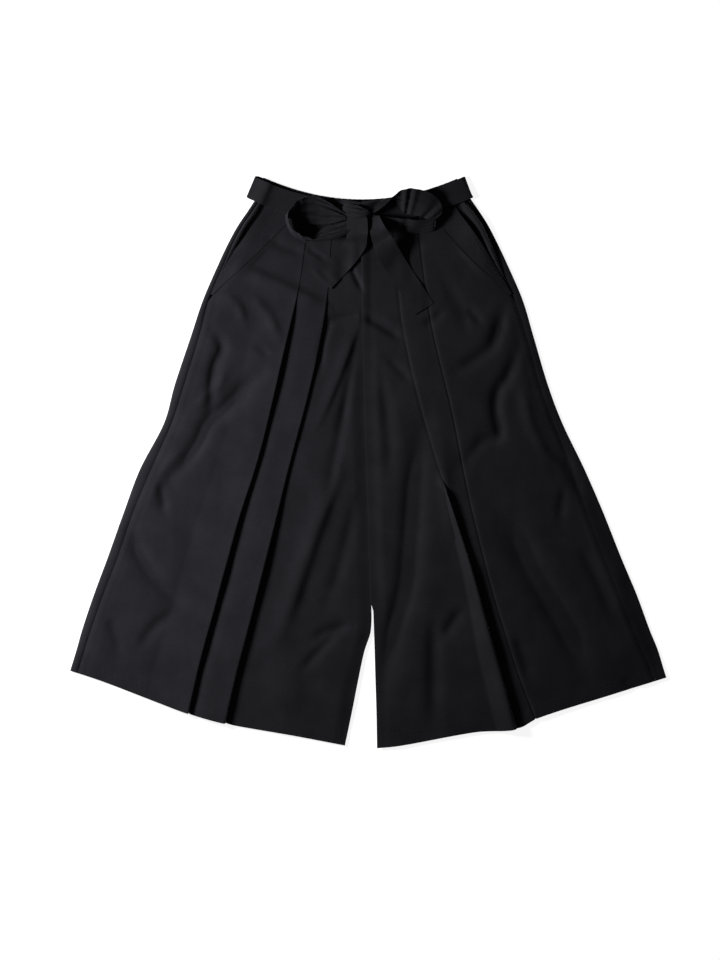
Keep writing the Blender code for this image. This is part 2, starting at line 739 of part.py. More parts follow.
def main():
    """Clear the scene and make each piece."""
    for item in list(bpy.data.objects):
        bpy.data.objects.remove(item, do_unlink=True)
    trousers = bpy.data.collections.new("hakama_trousers")
    bpy.context.scene.collection.children.link(trousers)

    for word, side in (("left", -1), ("right", 1)):
        back = leg_rows(side, back_path, back_height)
        add_sheet("back_leg_" + word, back, CLOTH, trousers, BLACK_PANEL)
        front = leg_rows(side, front_path, front_height)
        add_sheet("front_leg_" + word, front, CLOTH, trousers, BLACK_PANEL)
        add_sheet("hip_panel_" + word, hip_panel_rows(side), CLOTH, trousers, BLACK_PANEL)
        add_sheet("pocket_facing_" + word, pocket_band_rows(side), CLOTH, trousers, BLACK_PANEL)

    add_sheet("waistband_back", back_band_rows(), BACK_BAND_THICK, trousers, BLACK_BAND)
    add_sheet("waistband_front", front_band_rows(), FRONT_BAND_THICK, trousers, BLACK_BAND)
    add_sheet("belt_left", ribbon_rows(BELT_LEFT), CLOTH, trousers, BLACK_SASH)
    add_sheet("belt_right", ribbon_rows(BELT_RIGHT), CLOTH, trousers, BLACK_SASH)
    add_sheet("belt_back", belt_back_rows(), CLOTH, trousers, BLACK_SASH)
    add_knot(trousers)
    add_sheet("bow_loop_left", loop_rows(LOOP_LEFT), BOW_CLOTH, trousers, BLACK_SASH)
    add_sheet("bow_loop_right", loop_rows(LOOP_RIGHT), BOW_CLOTH, trousers, BLACK_SASH)
    add_sheet("tail_left", tail_rows(TAIL_LEFT), CLOTH, trousers, BLACK_SASH)
    add_sheet("tail_right", tail_rows(TAIL_RIGHT), CLOTH, trousers, BLACK_SASH)


main()
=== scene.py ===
"""Hakama trousers with their own sash, in black woven cotton, laid flat and seen from above.

Sizes and tables are in millimetres and become metres where a mesh is made. X runs across the
legs, Y runs up to the waist and Z is up from the surface. Left and right are the viewer's.
"""

import logging
import math
from dataclasses import dataclass
from enum import Enum
from typing import Callable, NamedTuple, Optional, Sequence

import bpy
import numpy as np
from bpy.types import ID, Material, Node, NodeSocket, NodeTree, Object
from mathutils import Matrix, Vector
from mathutils.bvhtree import BVHTree


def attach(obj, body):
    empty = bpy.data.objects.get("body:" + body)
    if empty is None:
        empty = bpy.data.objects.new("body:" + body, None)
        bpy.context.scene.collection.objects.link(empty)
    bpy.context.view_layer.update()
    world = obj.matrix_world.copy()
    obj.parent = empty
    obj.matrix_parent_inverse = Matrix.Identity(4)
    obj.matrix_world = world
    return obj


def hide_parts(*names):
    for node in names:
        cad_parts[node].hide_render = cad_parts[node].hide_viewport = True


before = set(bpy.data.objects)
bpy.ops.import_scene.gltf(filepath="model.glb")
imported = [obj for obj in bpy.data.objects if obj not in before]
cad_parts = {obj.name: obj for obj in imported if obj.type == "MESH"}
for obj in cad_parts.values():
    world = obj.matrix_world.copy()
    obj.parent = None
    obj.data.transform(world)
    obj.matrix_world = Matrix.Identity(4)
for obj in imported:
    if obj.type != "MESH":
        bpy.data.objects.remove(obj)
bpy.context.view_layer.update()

Array = np.ndarray
MM = 0.001
LOG = logging.getLogger("hakama")


class Side(Enum):
    """Which leg, loop or tail a piece belongs to, as the viewer sees it."""

    LEFT = -1
    RIGHT = 1

    @property
    def word(self) -> str:
        """The end of a piece's name."""
        return self.name.lower()


class Laid(Enum):
    """How a sheet of cloth is held."""

    FLAT = "laid"
    FOLDED = "folded"
    GATHERED = "gathered"
    DRAPED = "draped"


# How the layers lie on each other
LAYER = 1.8
REST = 0.7
FRONT_REST = REST + LAYER
SEAM_GAP = 0.3
FACING_GAP = 0.4
SEAM_LAP = 0.5
WAIST_LAP = 2.0

# The waist's curve, lower in the middle than at the hips
WAIST_MIDDLE = -11.0
WAIST_TOP_HALF = 161.0
WAIST_SEAM_HALF = 176.0
WAIST_TOP_LOW = 426.0
WAIST_TOP_RISE = 36.5
WAIST_SEAM_LOW = 389.0
WAIST_SEAM_RISE = 40.0
BACK_BAND_REST = 3.1
FRONT_BAND_REST = 5.9
BELT_REST = 8.1
BOW_REST = 9.2
BAND_THICK = 1.6

# The legs' rows: where they start and end, and the shares of the way between which they lie level
LEG_TOP = 400.0
LEG_END = -405.0
LEVEL_FROM = 0.2
LEVEL_TO = 0.6
CROTCH = 232.0
CURVE_STEPS = 4
UNDER_HEM = 3.0

# A fold has this share of its height at its ends, and the whole of it this far along
FOLD_END_HEIGHT = 0.3
FOLD_END_SHARE = 0.25


class Section(NamedTuple):
    """A leg's section: distances from the middle of the garment at a place along it."""

    along: float
    edge: float
    seam: float
    front: float
    mouth: float
    fold_1: float
    fold_2: float
    inner: float
    lift: float
    deep_1: float
    deep_2: float


class HemPlace(NamedTuple):
    """Where a hem lies."""

    x: float
    y: float


class FoldRise(NamedTuple):
    """How far the two pleats' fold edges roll up at a place along a leg."""

    along: float
    outer: float
    inner: float


class Wrinkle(NamedTuple):
    """A fold in the cloth along a line: a ridge, or a trough where height is below zero.

    left and right are how far it reaches to each side of its line, looking along the line.
    """

    line: tuple[tuple[float, float], ...]
    height: float
    left: float
    right: float


class BandPlace(NamedTuple):
    """A station of the belt's middle line."""

    x: float
    y: float
    z: float
    wide: float


class LoopPlace(NamedTuple):
    """A station of a bow loop: a point of its rim, the foot below it, and their heights."""

    x: float
    y: float
    foot_x: float
    foot_y: float
    low: float
    high: float


class TailPlace(NamedTuple):
    """A station of a sash tail's middle line. sink is how far down its fall it is."""

    x: float
    y: float
    wide: float
    turn: float
    sink: float


def table(kind: type, *rows: tuple) -> tuple:
    """The rows of a table, with their columns named."""
    return tuple(kind(*row) for row in rows)


LEFT_SECTIONS = table(
    Section,
    (432, -179, -172, -92, -164, -95, -56, -9.4, 1, 4, 18),
    (406, -196, -188.5, -111, -168, -96, -57, -9.4, 1, 5, 20),
    (384, -211, -203.5, -133, -186, -99.5, -59, -9.3, 1, 13, 21),
    (357, -226, -218, -160, -206, -102, -61, -9.2, 1, 20, 22),
    (321, -243, -234, -197, -233, -106, -62, -9.2, 1, 22, 24),
    (263, -268, -259, -257, -259, -116, -67, -8.7, 0, 24, 26),
    (206, -287, -274, -274, -274, -130, -75, -7.7, 0, 26, 28),
    (125, -314, -299, -299, -299, -148, -93, -5.7, 0, 28, 30),
    (64, -331, -319, -319, -319, -162, -109, -4.2, 0, 30, 30),
    (-11, -370, -352, -352, -352, -182, -129, -1.7, 0, 32, 32),
    (-80, -396, -381, -381, -381, -206, -145, 0.7, 0, 34, 34),
    (-153, -422, -406, -406, -406, -225, -164, 2.8, 0, 36, 36),
    (-215, -445, -430, -430, -430, -242, -180, 4.4, 0, 36, 38),
    (-272, -464, -450, -450, -450, -257, -194, 4.0, 0, 38, 38),
    (-304, -473, -460, -460, -460, -268, -203, -6, 0, 38, 40),
    (-340, -484, -471, -471, -471, -276, -212, -14, 0, 40, 40),
    (-406, -504, -490, -490, -490, -291, -228, -27, 0, 40, 40),
    (-463, -522, -508, -508, -508, -305, -242, -39, 0, 40, 40),
)
RIGHT_SECTIONS = table(
    Section,
    (432, 162, 152, 79, 132, 77, 39, -8.8, 1, 4, 18),
    (406, 180, 171, 97, 146, 79, 40, -8.8, 1, 5, 20),
    (384, 194, 185.5, 116, 162, 81.5, 41, -8.7, 1, 13, 21),
    (357, 208, 198, 139, 181, 84, 43, -8.6, 1, 20, 22),
    (321, 225, 213, 174, 203, 88, 46, -8.6, 1, 22, 24),
    (263, 250, 237, 235, 237, 96, 50, -8.1, 0, 24, 26),
    (206, 267, 256, 256, 256, 106, 58, -7.1, 0, 26, 28),
    (125, 291, 278, 278, 278, 126, 76, -5.1, 0, 28, 24),
    (64, 314, 300, 300, 300, 140, 93, -3.6, 0, 24, 18),
    (-11, 350, 330, 330, 330, 154, 115, -1.1, 0, 20, 3),
    (-80, 380, 353, 353, 353, 169, 138, 1.3, 0, 18, -9),
    (-153, 409, 381, 381, 381, 187, 163, 3.4, 0, 14, -16),
    (-215, 435, 406, 406, 406, 203, 181, 7, 0, 16, -22),
    (-272, 456, 429, 429, 429, 221, 196, 9, 0, 18, -28),
    (-304, 469, 443, 443, 443, 231, 205, 10, 0, 20, -32),
    (-340, 480, 459, 459, 459, 242, 215, 11, 0, 22, -34),
    (-406, 502, 482, 482, 482, 268, 233, 13, 0, 24, -36),
    (-463, 519, 503, 503, 503, 289, 249, 14, 0, 24, -38),
)
LEFT_HEM = table(
    HemPlace,
    (-500, -332), (-435, -353), (-338, -390), (-291, -407), (-232, -423), (-119, -443), (-20, -462),
)
RIGHT_HEM = table(
    HemPlace,
    (0, -464), (51, -459), (173, -437), (240, -432), (275, -414), (391, -377), (500, -343),
)
LEFT_RISES = table(
    FoldRise,
    (286, 0, 0), (250, 1.0, 0.3), (200, 3.2, 0.8), (140, 4.2, 1.2), (60, 2.6, 1.4), (0, 2.6, 1.4),
    (-70, 4.2, 2.6), (-140, 5.2, 5.0), (-300, 5.4, 5.6), (-420, 5.0, 5.6),
)
RIGHT_RISES = table(
    FoldRise,
    (286, 0, 0), (200, 0.4, 0.5), (90, 0.6, 1.0), (20, 0.6, 2.0), (-50, 0.5, 4.5), (-130, 0.5, 8.0),
    (-300, 0.8, 9.5), (-420, 0.8, 9.5),
)
# The large folds, which the solids have too
FOLDS = table(
    Wrinkle,
    (((-206, 316), (-160, 296), (-117, 277), (-66, 252)), 2.7, 7, 19),
    (((-252, 213), (-239, 195), (-236, 180), (-249, 161), (-254, 125), (-256, 85)), -3.0, 10, 8),
    (((-171, 149), (-205, 114), (-234, 82), (-262, 62), (-270, 35), (-299, -4), (-321, -22)), -3.6, 11, 13),
    (((-383, -105), (-376, -137), (-355, -174), (-323, -212), (-278, -236)), -3.0, 12, 14),
    (((-16, 224), (-57, 114), (-80, 62)), 1.5, 5, 12), (((-20, 190), (-45, 56)), -1.1, 7, 8),
    (((-48, -19), (-82, -105), (-106, -179), (-140, -276)), 2.8, 9, 17),
    (((-90, -290), (-64, -271), (-28, -265)), -2.0, 9, 8), (((-9, 238), (14, 226), (53, 201)), -2.9, 9, 6),
    (((-62, 230), (-34, 236), (-12, 238)), -1.8, 6, 5),
    (((90, 64), (75, -16), (71, -85), (66, -160), (61, -208), (37, -283), (21, -374)), -3.8, 18, 16),
    (((106, -244), (106, -432)), -2.2, 13, 12),
    (((220, 247), (205, 189), (186, 174), (145, 148)), -3.0, 9, 12),
    (((245, 189), (225, 133), (210, 119), (205, 85), (215, 49), (208, 37), (186, 37), (160, 4)), -2.8, 9, 11),
    (((317, 18), (328, -10), (347, -56)), -2.2, 10, 11),
    (((210, -76), (251, -134), (265, -174), (290, -215), (325, -268), (354, -348)), -3.5, 20, 22),
)
# The finer folds of the cloth
CREASES = table(
    Wrinkle,
    (((-159, 362), (-135, 348), (-106, 341)), -1.9, 6, 7), (((-99, 347), (-69, 328)), -1.7, 3, 3),
    (((88, 221), (104, 228), (124, 246)), -1.5, 7, 6), (((-89, 310), (-63, 289)), 0.9, 3, 3),
    (((-233, 273), (-209, 256), (-199, 226)), 1.4, 6, 9),
    (((-188, 269), (-164, 245), (-144, 204)), 1.9, 7, 10), (((-179, 190), (-161, 172)), -1.5, 6, 6),
    (((-338, -30), (-329, -80)), -2.0, 8, 8), (((-48, -271), (-109, -338)), -1.6, 8, 7),
    (((150, -239), (121, -283)), -1.8, 9, 8), (((318, -38), (309, -98)), -1.1, 9, 8),
    (((411, -353), (437, -369)), -1.6, 8, 7), (((-230, 150), (-246, 120), (-280, 92)), 1.6, 10, 8),
    (((-300, 20), (-330, -10), (-352, -60)), 1.4, 12, 9),
    (((-310, -240), (-345, -262), (-372, -300)), -1.5, 11, 9), (((-420, -250), (-400, -310)), -1.2, 10, 9),
    (((-30, 320), (-20, 300), (-9, 278)), -1.7, 4, 5), (((-60, 235), (-75, 190), (-78, 150)), -1.2, 6, 7),
    (((-30, 120), (-52, 20), (-66, -60)), -1.3, 9, 9),
    (((-20, -60), (-40, -150), (-66, -230)), -1.4, 12, 10),
    (((20, 150), (32, 60), (36, -20)), -1.3, 11, 10), (((30, 170), (70, 130)), -1.2, 7, 7),
    (((120, 30), (128, -60), (140, -130)), 1.2, 9, 11), (((250, 120), (262, 60), (290, 10)), 1.4, 9, 10),
    (((285, 26), (318, 4)), -0.8, 8, 8), (((340, -130), (372, -190), (400, -260)), -1.3, 12, 10),
    (((240, -280), (262, -350)), -1.2, 11, 9), (((160, 250), (184, 226)), -1.3, 7, 7),
    (((120, 300), (150, 250), (158, 200)), -1.0, 9, 8),
)
BELT_LEFT = table(
    BandPlace,
    (-14, 407, BELT_REST + 7.5, 27), (-35, 408.5, BELT_REST + 5, 31), (-54, 409.5, BELT_REST + 1.5, 34),
    (-91, 412, BELT_REST, 36), (-127, 420.5, BELT_REST, 36), (-156, 430, BELT_REST + 1.2, 36),
    (-169, 435.5, BELT_REST + 5.0, 36), (-186, 443.2, BELT_REST - 1.8, 36),
    (-190, 446, (BELT_REST + REST) / 2, 35), (-188, 448, REST + 1.2, 34), (-182.5, 447, REST, 34),
    (-172, 442.4, REST, 34),
)
BELT_RIGHT = table(
    BandPlace,
    (-16, 407, BELT_REST + 6.5, 27), (1, 407.5, BELT_REST + 6.5, 30), (22, 409, BELT_REST + 2, 33),
    (54, 411, BELT_REST, 36), (96, 421.5, BELT_REST, 36), (130, 432.5, BELT_REST, 36),
    (155, 442, BELT_REST, 36), (160, 444.2, BELT_REST - 1.2, 36), (162, 446, (BELT_REST + REST) / 2, 35),
    (160, 446.8, REST + 1.2, 34), (155, 444.6, REST, 34), (146, 440.7, REST, 34),
)
LOOP_LEFT = table(
    LoopPlace,
    (-37.9, 402.4, -36.3, 392.7, 6, 11), (-52.5, 412.1, -49.2, 389.4, 4, 12),
    (-67.1, 421, -62.2, 386.2, 2, 13), (-88.1, 429.1, -83.3, 384.6, 1, 16),
    (-107.6, 425.1, -101.1, 387.8, 0, 22), (-121.3, 414.6, -118.9, 392.7, 0, 26),
    (-129.4, 397.2, -131.6, 394.6, 0, 27), (-125, 379.3, -127.6, 376.3, 0, 25),
    (-112.2, 368.4, -114.4, 362.6, 0, 22), (-96.2, 361.1, -94.6, 360.3, 0, 19),
    (-76.8, 358.7, -73.5, 378.1, 1, 17), (-54.1, 361.9, -50.9, 384.6, 3, 15),
    (-29.8, 371.6, -33, 391.1, 6, 13),
)
LOOP_RIGHT = table(
    LoopPlace,
    (4.2, 400.8, 1, 402.4, 6, 13), (15.6, 407.3, 9.9, 414.6, 2, 15), (28.5, 417.8, 22, 425.1, 0, 17),
    (43.1, 431.6, 39.9, 425.1, 1, 17), (56.1, 439.7, 51.2, 410.5, 2, 17), (69, 441.9, 59.3, 403.2, 3, 16),
    (85.2, 439.7, 69, 400, 4, 13.5), (103, 433.2, 78.7, 398.4, 5, 10), (116, 420.2, 86.8, 396.7, 4.5, 7.5),
    (119.2, 405.6, 94.9, 391.1, 2.5, 7), (109.5, 394.3, 107.9, 377.3, 0, 9.5),
    (80.4, 391.1, 77.1, 370.8, 0, 13), (54.4, 393, 52.8, 377.3, 0, 14), (31.8, 395.9, 31.8, 385.4, 1, 14),
    (7.5, 399.2, 7.5, 392.7, 5, 13),
)
TAIL_LEFT = table(
    TailPlace,
    (-19, 399, 30, 0, 0.6), (-18.5, 393, 33, 0, 0.1), (-18, 382, 34, 0, -0.1), (-18, 371, 34, 0, 0.05),
    (-19, 362, 34, 0, 0.35), (-22, 352, 36, -16, 0.7), (-34, 335, 35, -41, 0.92), (-48, 320, 36, -41, 1.0),
    (-63, 304.5, 36, -41, 1.0), (-74.5, 292, 36, -41, 1.0),
)
TAIL_RIGHT = table(
    TailPlace,
    (8, 396, 19, 12, 0.1), (11, 386, 22, 18, -0.35), (15, 374, 26, 25, -0.4), (21, 360, 32, 30, -0.05),
    (29, 344, 36, 32, 0.25), (45, 318, 36, 32, 0.76), (62, 291.5, 36, 32, 1.0), (77, 268.5, 36, 32, 1.0),
    (90, 248, 36, 32, 1.0),
)


def smooth(value: Array) -> Array:
    """Ease from 0 to 1 as value goes from 0 to 1, and stay there outside."""
    held = np.clip(value, 0.0, 1.0)
    return held * held * (3 - 2 * held)


def mix(low: Array, high: Array, share: Array) -> Array:
    """The number that lies at share of the way from low to high."""
    return low + (high - low) * share


def bell(off: Array, wide: Array) -> Array:
    """A rounded ridge, 1 in its middle and falling off over wide to each side."""
    return np.exp(-((off / wide) ** 2))


def stacked(*parts: Array) -> Array:
    """Set numbers side by side in a last axis, each as wide as the widest."""
    return np.stack(np.broadcast_arrays(*parts), axis=-1)


def lattice(down: tuple, across: tuple) -> Sequence[Array]:
    """Lay even steps out in rows and columns.

    Args:
        down: the first and last value from row to row, and how many there are.
        across: the same from column to column.

    Returns:
        The values down and the values across, at every row and column.
    """
    return np.meshgrid(np.linspace(*down), np.linspace(*across), indexing="ij")


def waist_seam(x: Array) -> Array:
    """Where the legs are sewn to the waistbands."""
    return WAIST_SEAM_LOW + WAIST_SEAM_RISE * ((x - WAIST_MIDDLE) / WAIST_SEAM_HALF) ** 2


class Curve:
    """A smooth curve through the rows of a table's column."""

    def __init__(self, keys: Sequence[float], values: Sequence[float]) -> None:
        """Order the rows and find the slope at each.

        Args:
            keys: where each row lies.
            values: the column's value there.
        """
        order = np.argsort(keys)
        self.keys = np.asarray(keys, float)[order]
        self.values = np.asarray(values, float)[order]
        before = np.maximum(np.arange(len(order)) - 1, 0)
        after = np.minimum(np.arange(len(order)) + 1, len(order) - 1)
        self.slopes = (self.values[after] - self.values[before]) / (self.keys[after] - self.keys[before])

    def __call__(self, place: Array) -> Array:
        """Read the column's value at a place, held to the table's ends.

        Args:
            place: where to read it.

        Returns:
            The value there.
        """
        held = np.clip(place, self.keys[0], self.keys[-1])
        step = np.clip(np.searchsorted(self.keys, held, side="right") - 1, 0, len(self.keys) - 2)
        run = self.keys[step + 1] - self.keys[step]
        share = (held - self.keys[step]) / run
        rise = self.values[step + 1] - self.values[step]
        start = self.slopes[step] * run
        end = self.slopes[step + 1] * run
        bend = start + end - 2 * rise
        lean = 3 * rise - 2 * start - end
        return self.values[step] + share * (start + share * (lean + share * bend))


def curves_of(rows: Sequence[NamedTuple], counted: bool = False) -> dict[str, Curve]:
    """Make a curve for each column of a table.

    Args:
        rows: the table.
        counted: True where a place is counted in rows, False where it is the first column.

    Returns:
        The curves, by column.
    """
    keys = range(len(rows)) if counted else [row[0] for row in rows]
    return {name: Curve(keys, [getattr(row, name) for row in rows]) for name in rows[0]._fields}


class Unevenness:
    """The soft unevenness that laid cloth has everywhere, the same on each run."""

    size = 64

    def __init__(self, seed: int, across: float, along: float) -> None:
        """Draw a lattice of heights.

        Args:
            seed: which lattice to draw.
            across: its spacing along X, in millimetres.
            along: its spacing along Y, in millimetres.
        """
        self.heights = np.random.default_rng(seed).uniform(-1, 1, (self.size, self.size))
        self.across = across
        self.along = along

    def __call__(self, x: Array, y: Array) -> Array:
        """Read the height at places along X and Y.

        Args:
            x: places along X.
            y: places along Y.

        Returns:
            The heights there, from -1 to 1.
        """
        u = np.asarray(x) / self.across + self.size / 2
        v = np.asarray(y) / self.along + self.size / 2
        column = np.floor(u).astype(int)
        row = np.floor(v).astype(int)
        rows = []
        for down in (0, 1):
            near, far = (self.heights[(row + down) % self.size, (column + k) % self.size] for k in (0, 1))
            rows.append(mix(near, far, smooth(u - column)))
        return mix(*rows, smooth(v - row))


def folds_at(folds: Sequence[Wrinkle], x: Array, y: Array) -> Array:
    """Add up the heights of folds.

    Args:
        folds: the folds.
        x: places along X.
        y: places along Y.

    Returns:
        The height at each place.
    """
    total = np.zeros(np.broadcast(x, y).shape)
    for fold in folds:
        line = rounded(fold.line)
        lengths = np.hypot(*np.diff(line, axis=0).T)
        whole = lengths.sum()
        before = 0.0
        nearest = np.full(total.shape, np.inf)
        strength = np.zeros(total.shape)
        for start, end, length in zip(line, line[1:], lengths):
            run = (end - start) / length
            along = np.clip((x - start[0]) * run[0] + (y - start[1]) * run[1], 0, length)
            off_x = x - start[0] - along * run[0]
            off_y = y - start[1] - along * run[1]
            far = np.hypot(off_x, off_y)
            reach = np.where(run[0] * off_y - run[1] * off_x > 0, fold.left, fold.right)
            from_end = np.minimum(before + along, whole - before - along) / whole
            here = bell(far, reach) * mix(FOLD_END_HEIGHT, 1.0, smooth(from_end / FOLD_END_SHARE))
            strength = np.where(far < nearest, here, strength)
            nearest = np.minimum(far, nearest)
            before += length
        total += fold.height * strength
    return total


def rounded(line: Sequence[tuple[float, float]]) -> Array:
    """Cut the corners of a line twice, keeping its ends.

    Args:
        line: its points.

    Returns:
        The rounder line's points.
    """
    points = np.asarray(line, float)
    for _ in range(2 if len(points) > 2 else 0):
        near = mix(points[:-1], points[1:], 0.25)
        far = mix(points[:-1], points[1:], 0.75)
        cut = np.stack([near, far], axis=1).reshape(-1, 2)
        points = np.concatenate([points[:1], cut[1:-1], points[-1:]])
    return points


def hex_colour(code: str) -> tuple[float, float, float, float]:
    """Turn an sRGB colour to linear light.

    Args:
        code: six hex digits.

    Returns:
        Red, green, blue and alpha.
    """
    parts = [int(code[k : k + 2], 16) / 255 for k in (0, 2, 4)]
    linear = [v / 12.92 if v <= 0.04045 else ((v + 0.055) / 1.055) ** 2.4 for v in parts]
    return (*linear, 1.0)


def start_material(name: str, values: dict) -> tuple[Material, Node]:
    """Make a material.

    Args:
        name: its name.
        values: what to set on the shader's own sockets, by name.

    Returns:
        The material and its shader.
    """
    material = bpy.data.materials.new(name)
    material.use_nodes = True
    shader = material.node_tree.nodes["Principled BSDF"]
    for socket, value in values.items():
        shader.inputs[socket].default_value = value
    return material, shader


def add_node(tree: NodeTree, kind: str, settings: dict, links: dict) -> Node:
    """Add a shader node.

    Args:
        tree: the tree that gets it.
        kind: its type, less the word that all of them start with.
        settings: its properties by name, and its inputs' values by number or name.
        links: for each input, the output socket that feeds it.

    Returns:
        The node.
    """
    node = tree.nodes.new("ShaderNode" + kind)
    for name, value in settings.items():
        if isinstance(name, int) or name in node.inputs:
            node.inputs[name].default_value = value
        else:
            setattr(node, name, value)
    for name, socket in links.items():
        tree.links.new(socket, node.inputs[name])
    return node


def toned(tree: NodeTree, colour: NodeSocket, value: NodeSocket,
          low: tuple[float, float], high: tuple[float, float]) -> NodeSocket:
    """Make a colour darker and lighter with a value.

    Args:
        tree: the tree.
        colour: the colour's socket.
        value: the value's socket.
        low: a low value, and the share of the colour that it gives.
        high: a high value, and its share.

    Returns:
        The toned colour's socket.
    """
    spans = {"From Min": low[0], "From Max": high[0], "To Min": low[1], "To Max": high[1]}
    tone = add_node(tree, "MapRange", spans, {"Value": value}).outputs["Result"]
    return add_node(tree, "VectorMath", {"operation": "SCALE"}, {0: colour, "Scale": tone}).outputs["Vector"]


def cover(shader: Node, colour: NodeSocket, height: NodeSocket,
          strength: float, depth: float) -> None:
    """Give a shader its colour and its relief.

    Args:
        shader: the shader.
        colour: the colour's socket.
        height: the relief's socket.
        strength: how strongly the relief shows.
        depth: how deep it is, in millimetres.
    """
    tree = shader.id_data
    bump = add_node(tree, "Bump", {"Strength": strength, "Distance": depth * MM}, {"Height": height})
    tree.links.new(colour, shader.inputs["Base Color"])
    tree.links.new(bump.outputs["Normal"], shader.inputs["Normal"])


def wave_scale(spacing: float) -> float:
    """The scale at which a wave node's bands lie spacing millimetres apart."""
    return math.pi / 10 / (spacing * MM)


@dataclass(frozen=True)
class WovenCotton:
    """Black cotton, plain woven and piece dyed.

    To the eye it is a matt near-black that turns a cool dark grey where light rakes over its
    threads, with slow mottling where the dye took unevenly, and a painted highlight lightens it
    along fold edges and a seam's lip.
    """

    name: str
    colour: str
    lit: str
    # The colour of the painted highlight along fold edges and a seam's lip
    pressed: str
    roughness: float = 0.82
    thread: float = 1.1
    weave_depth: float = 0.05
    sheen: float = 0.10
    mottle: float = 45.0
    slub: float = 2.5

    # The real threads lie 0.35 mm apart, too fine to show, so they are drawn at thread millimetres.
    def material(self) -> Material:
        """Make the cloth's material.

        Returns:
            A material that reads the piece's own cloth map and its painted highlight attribute.
        """
        material, shader = start_material(self.name, {
            "Roughness": self.roughness, "Specular IOR Level": 0.25, "Sheen Weight": self.sheen,
            "Sheen Roughness": 0.45, "Sheen Tint": hex_colour("c9cbe0"),
        })
        tree = material.node_tree
        place = add_node(tree, "UVMap", {"uv_map": "cloth"}, {}).outputs["UV"]
        solid = {"Vector": add_node(tree, "TexCoord", {}, {}).outputs["Object"]}
        ripple = {"Scale": wave_scale(self.thread), "Distortion": 0.35, "Detail": 1.0, "Detail Scale": 0.4}
        warp, weft = (
            add_node(tree, "TexWave", {"bands_direction": way, **ripple}, {"Vector": place}).outputs["Fac"]
            for way in ("X", "Y")
        )
        weave = add_node(tree, "Math", {"operation": "MAXIMUM"}, {0: warp, 1: weft}).outputs["Value"]
        clouds = {"Scale": 1 / (self.mottle * MM), "Detail": 3.0, "Roughness": 0.55}
        cloud = add_node(tree, "TexNoise", clouds, solid).outputs["Fac"]
        slubs = {"Scale": 1 / (self.slub * MM), "Detail": 2.0}
        slub = add_node(tree, "TexNoise", slubs, solid).outputs["Fac"]
        spread = add_node(tree, "MapRange", {"From Min": 0.35, "From Max": 0.65}, {"Value": cloud})
        colours = {"data_type": "RGBA", 6: hex_colour(self.colour), 7: hex_colour(self.lit)}
        dye = add_node(tree, "Mix", colours, {0: spread.outputs["Result"]})
        woven = toned(tree, dye.outputs[2], weave, (0.2, 0.9), (1.0, 1.06))
        # Painted highlight: the lighter colour is mixed in where the attribute marks a fold edge or a seam's
        # lip
        mark = add_node(tree, "Attribute", {"attribute_name": "pressed"}, {}).outputs["Fac"]
        edge_highlight = add_node(tree, "Mix", {"data_type": "RGBA", 7: hex_colour(self.pressed)}, {0: mark, 6: woven})
        flecked = toned(tree, edge_highlight.outputs[2], slub, (0.3, 0.88), (0.7, 1.12))
        grain = add_node(tree, "Math", {"operation": "MULTIPLY_ADD", 1: 0.6}, {0: slub, 2: weave})
        cover(shader, flecked, grain.outputs["Value"], 0.5, self.weave_depth)
        return material


@dataclass(frozen=True)
class SewingThread:
    """Black polyester sewing thread, twisted.

    To the eye it is smoother than the cloth, so each stitch catches a small light.
    """

    name: str = "polyester sewing thread"
    colour: str = "1b1b1f"
    shade: str = "131316"
    twist: float = 0.5
    twist_depth: float = 0.05

    def material(self) -> Material:
        """Make the thread's material, with its twist along each stitch.

        Returns:
            The material.
        """
        material, shader = start_material(self.name, {"Roughness": 0.6})
        tree = material.node_tree
        solid = {"Vector": add_node(tree, "TexCoord", {}, {}).outputs["Object"]}
        bands = {"bands_direction": "DIAGONAL", "Scale": wave_scale(self.twist)}
        twist = add_node(tree, "TexWave", bands, solid).outputs["Fac"]
        colours = {"data_type": "RGBA", 6: hex_colour(self.shade), 7: hex_colour(self.colour)}
        tone = add_node(tree, "Mix", colours, {0: twist})
        cover(shader, tone.outputs[2], twist, 0.4, self.twist_depth)
        return material


def select_only(piece: Object) -> None:
    """Make a piece the only one selected, and the active one.

    Args:
        piece: the piece.
    """
    for other in bpy.context.selected_objects:
        other.select_set(False)
    piece.select_set(True)
    bpy.context.view_layer.objects.active = piece


def place_object(name: str, data: ID) -> Object:
    """Put a mesh, a light or a camera in the scene.

    Args:
        name: the object's name.
        data: what it shows.

    Returns:
        The object.
    """
    placed = bpy.data.objects.new(name, data)
    bpy.context.scene.collection.objects.link(placed)
    return placed


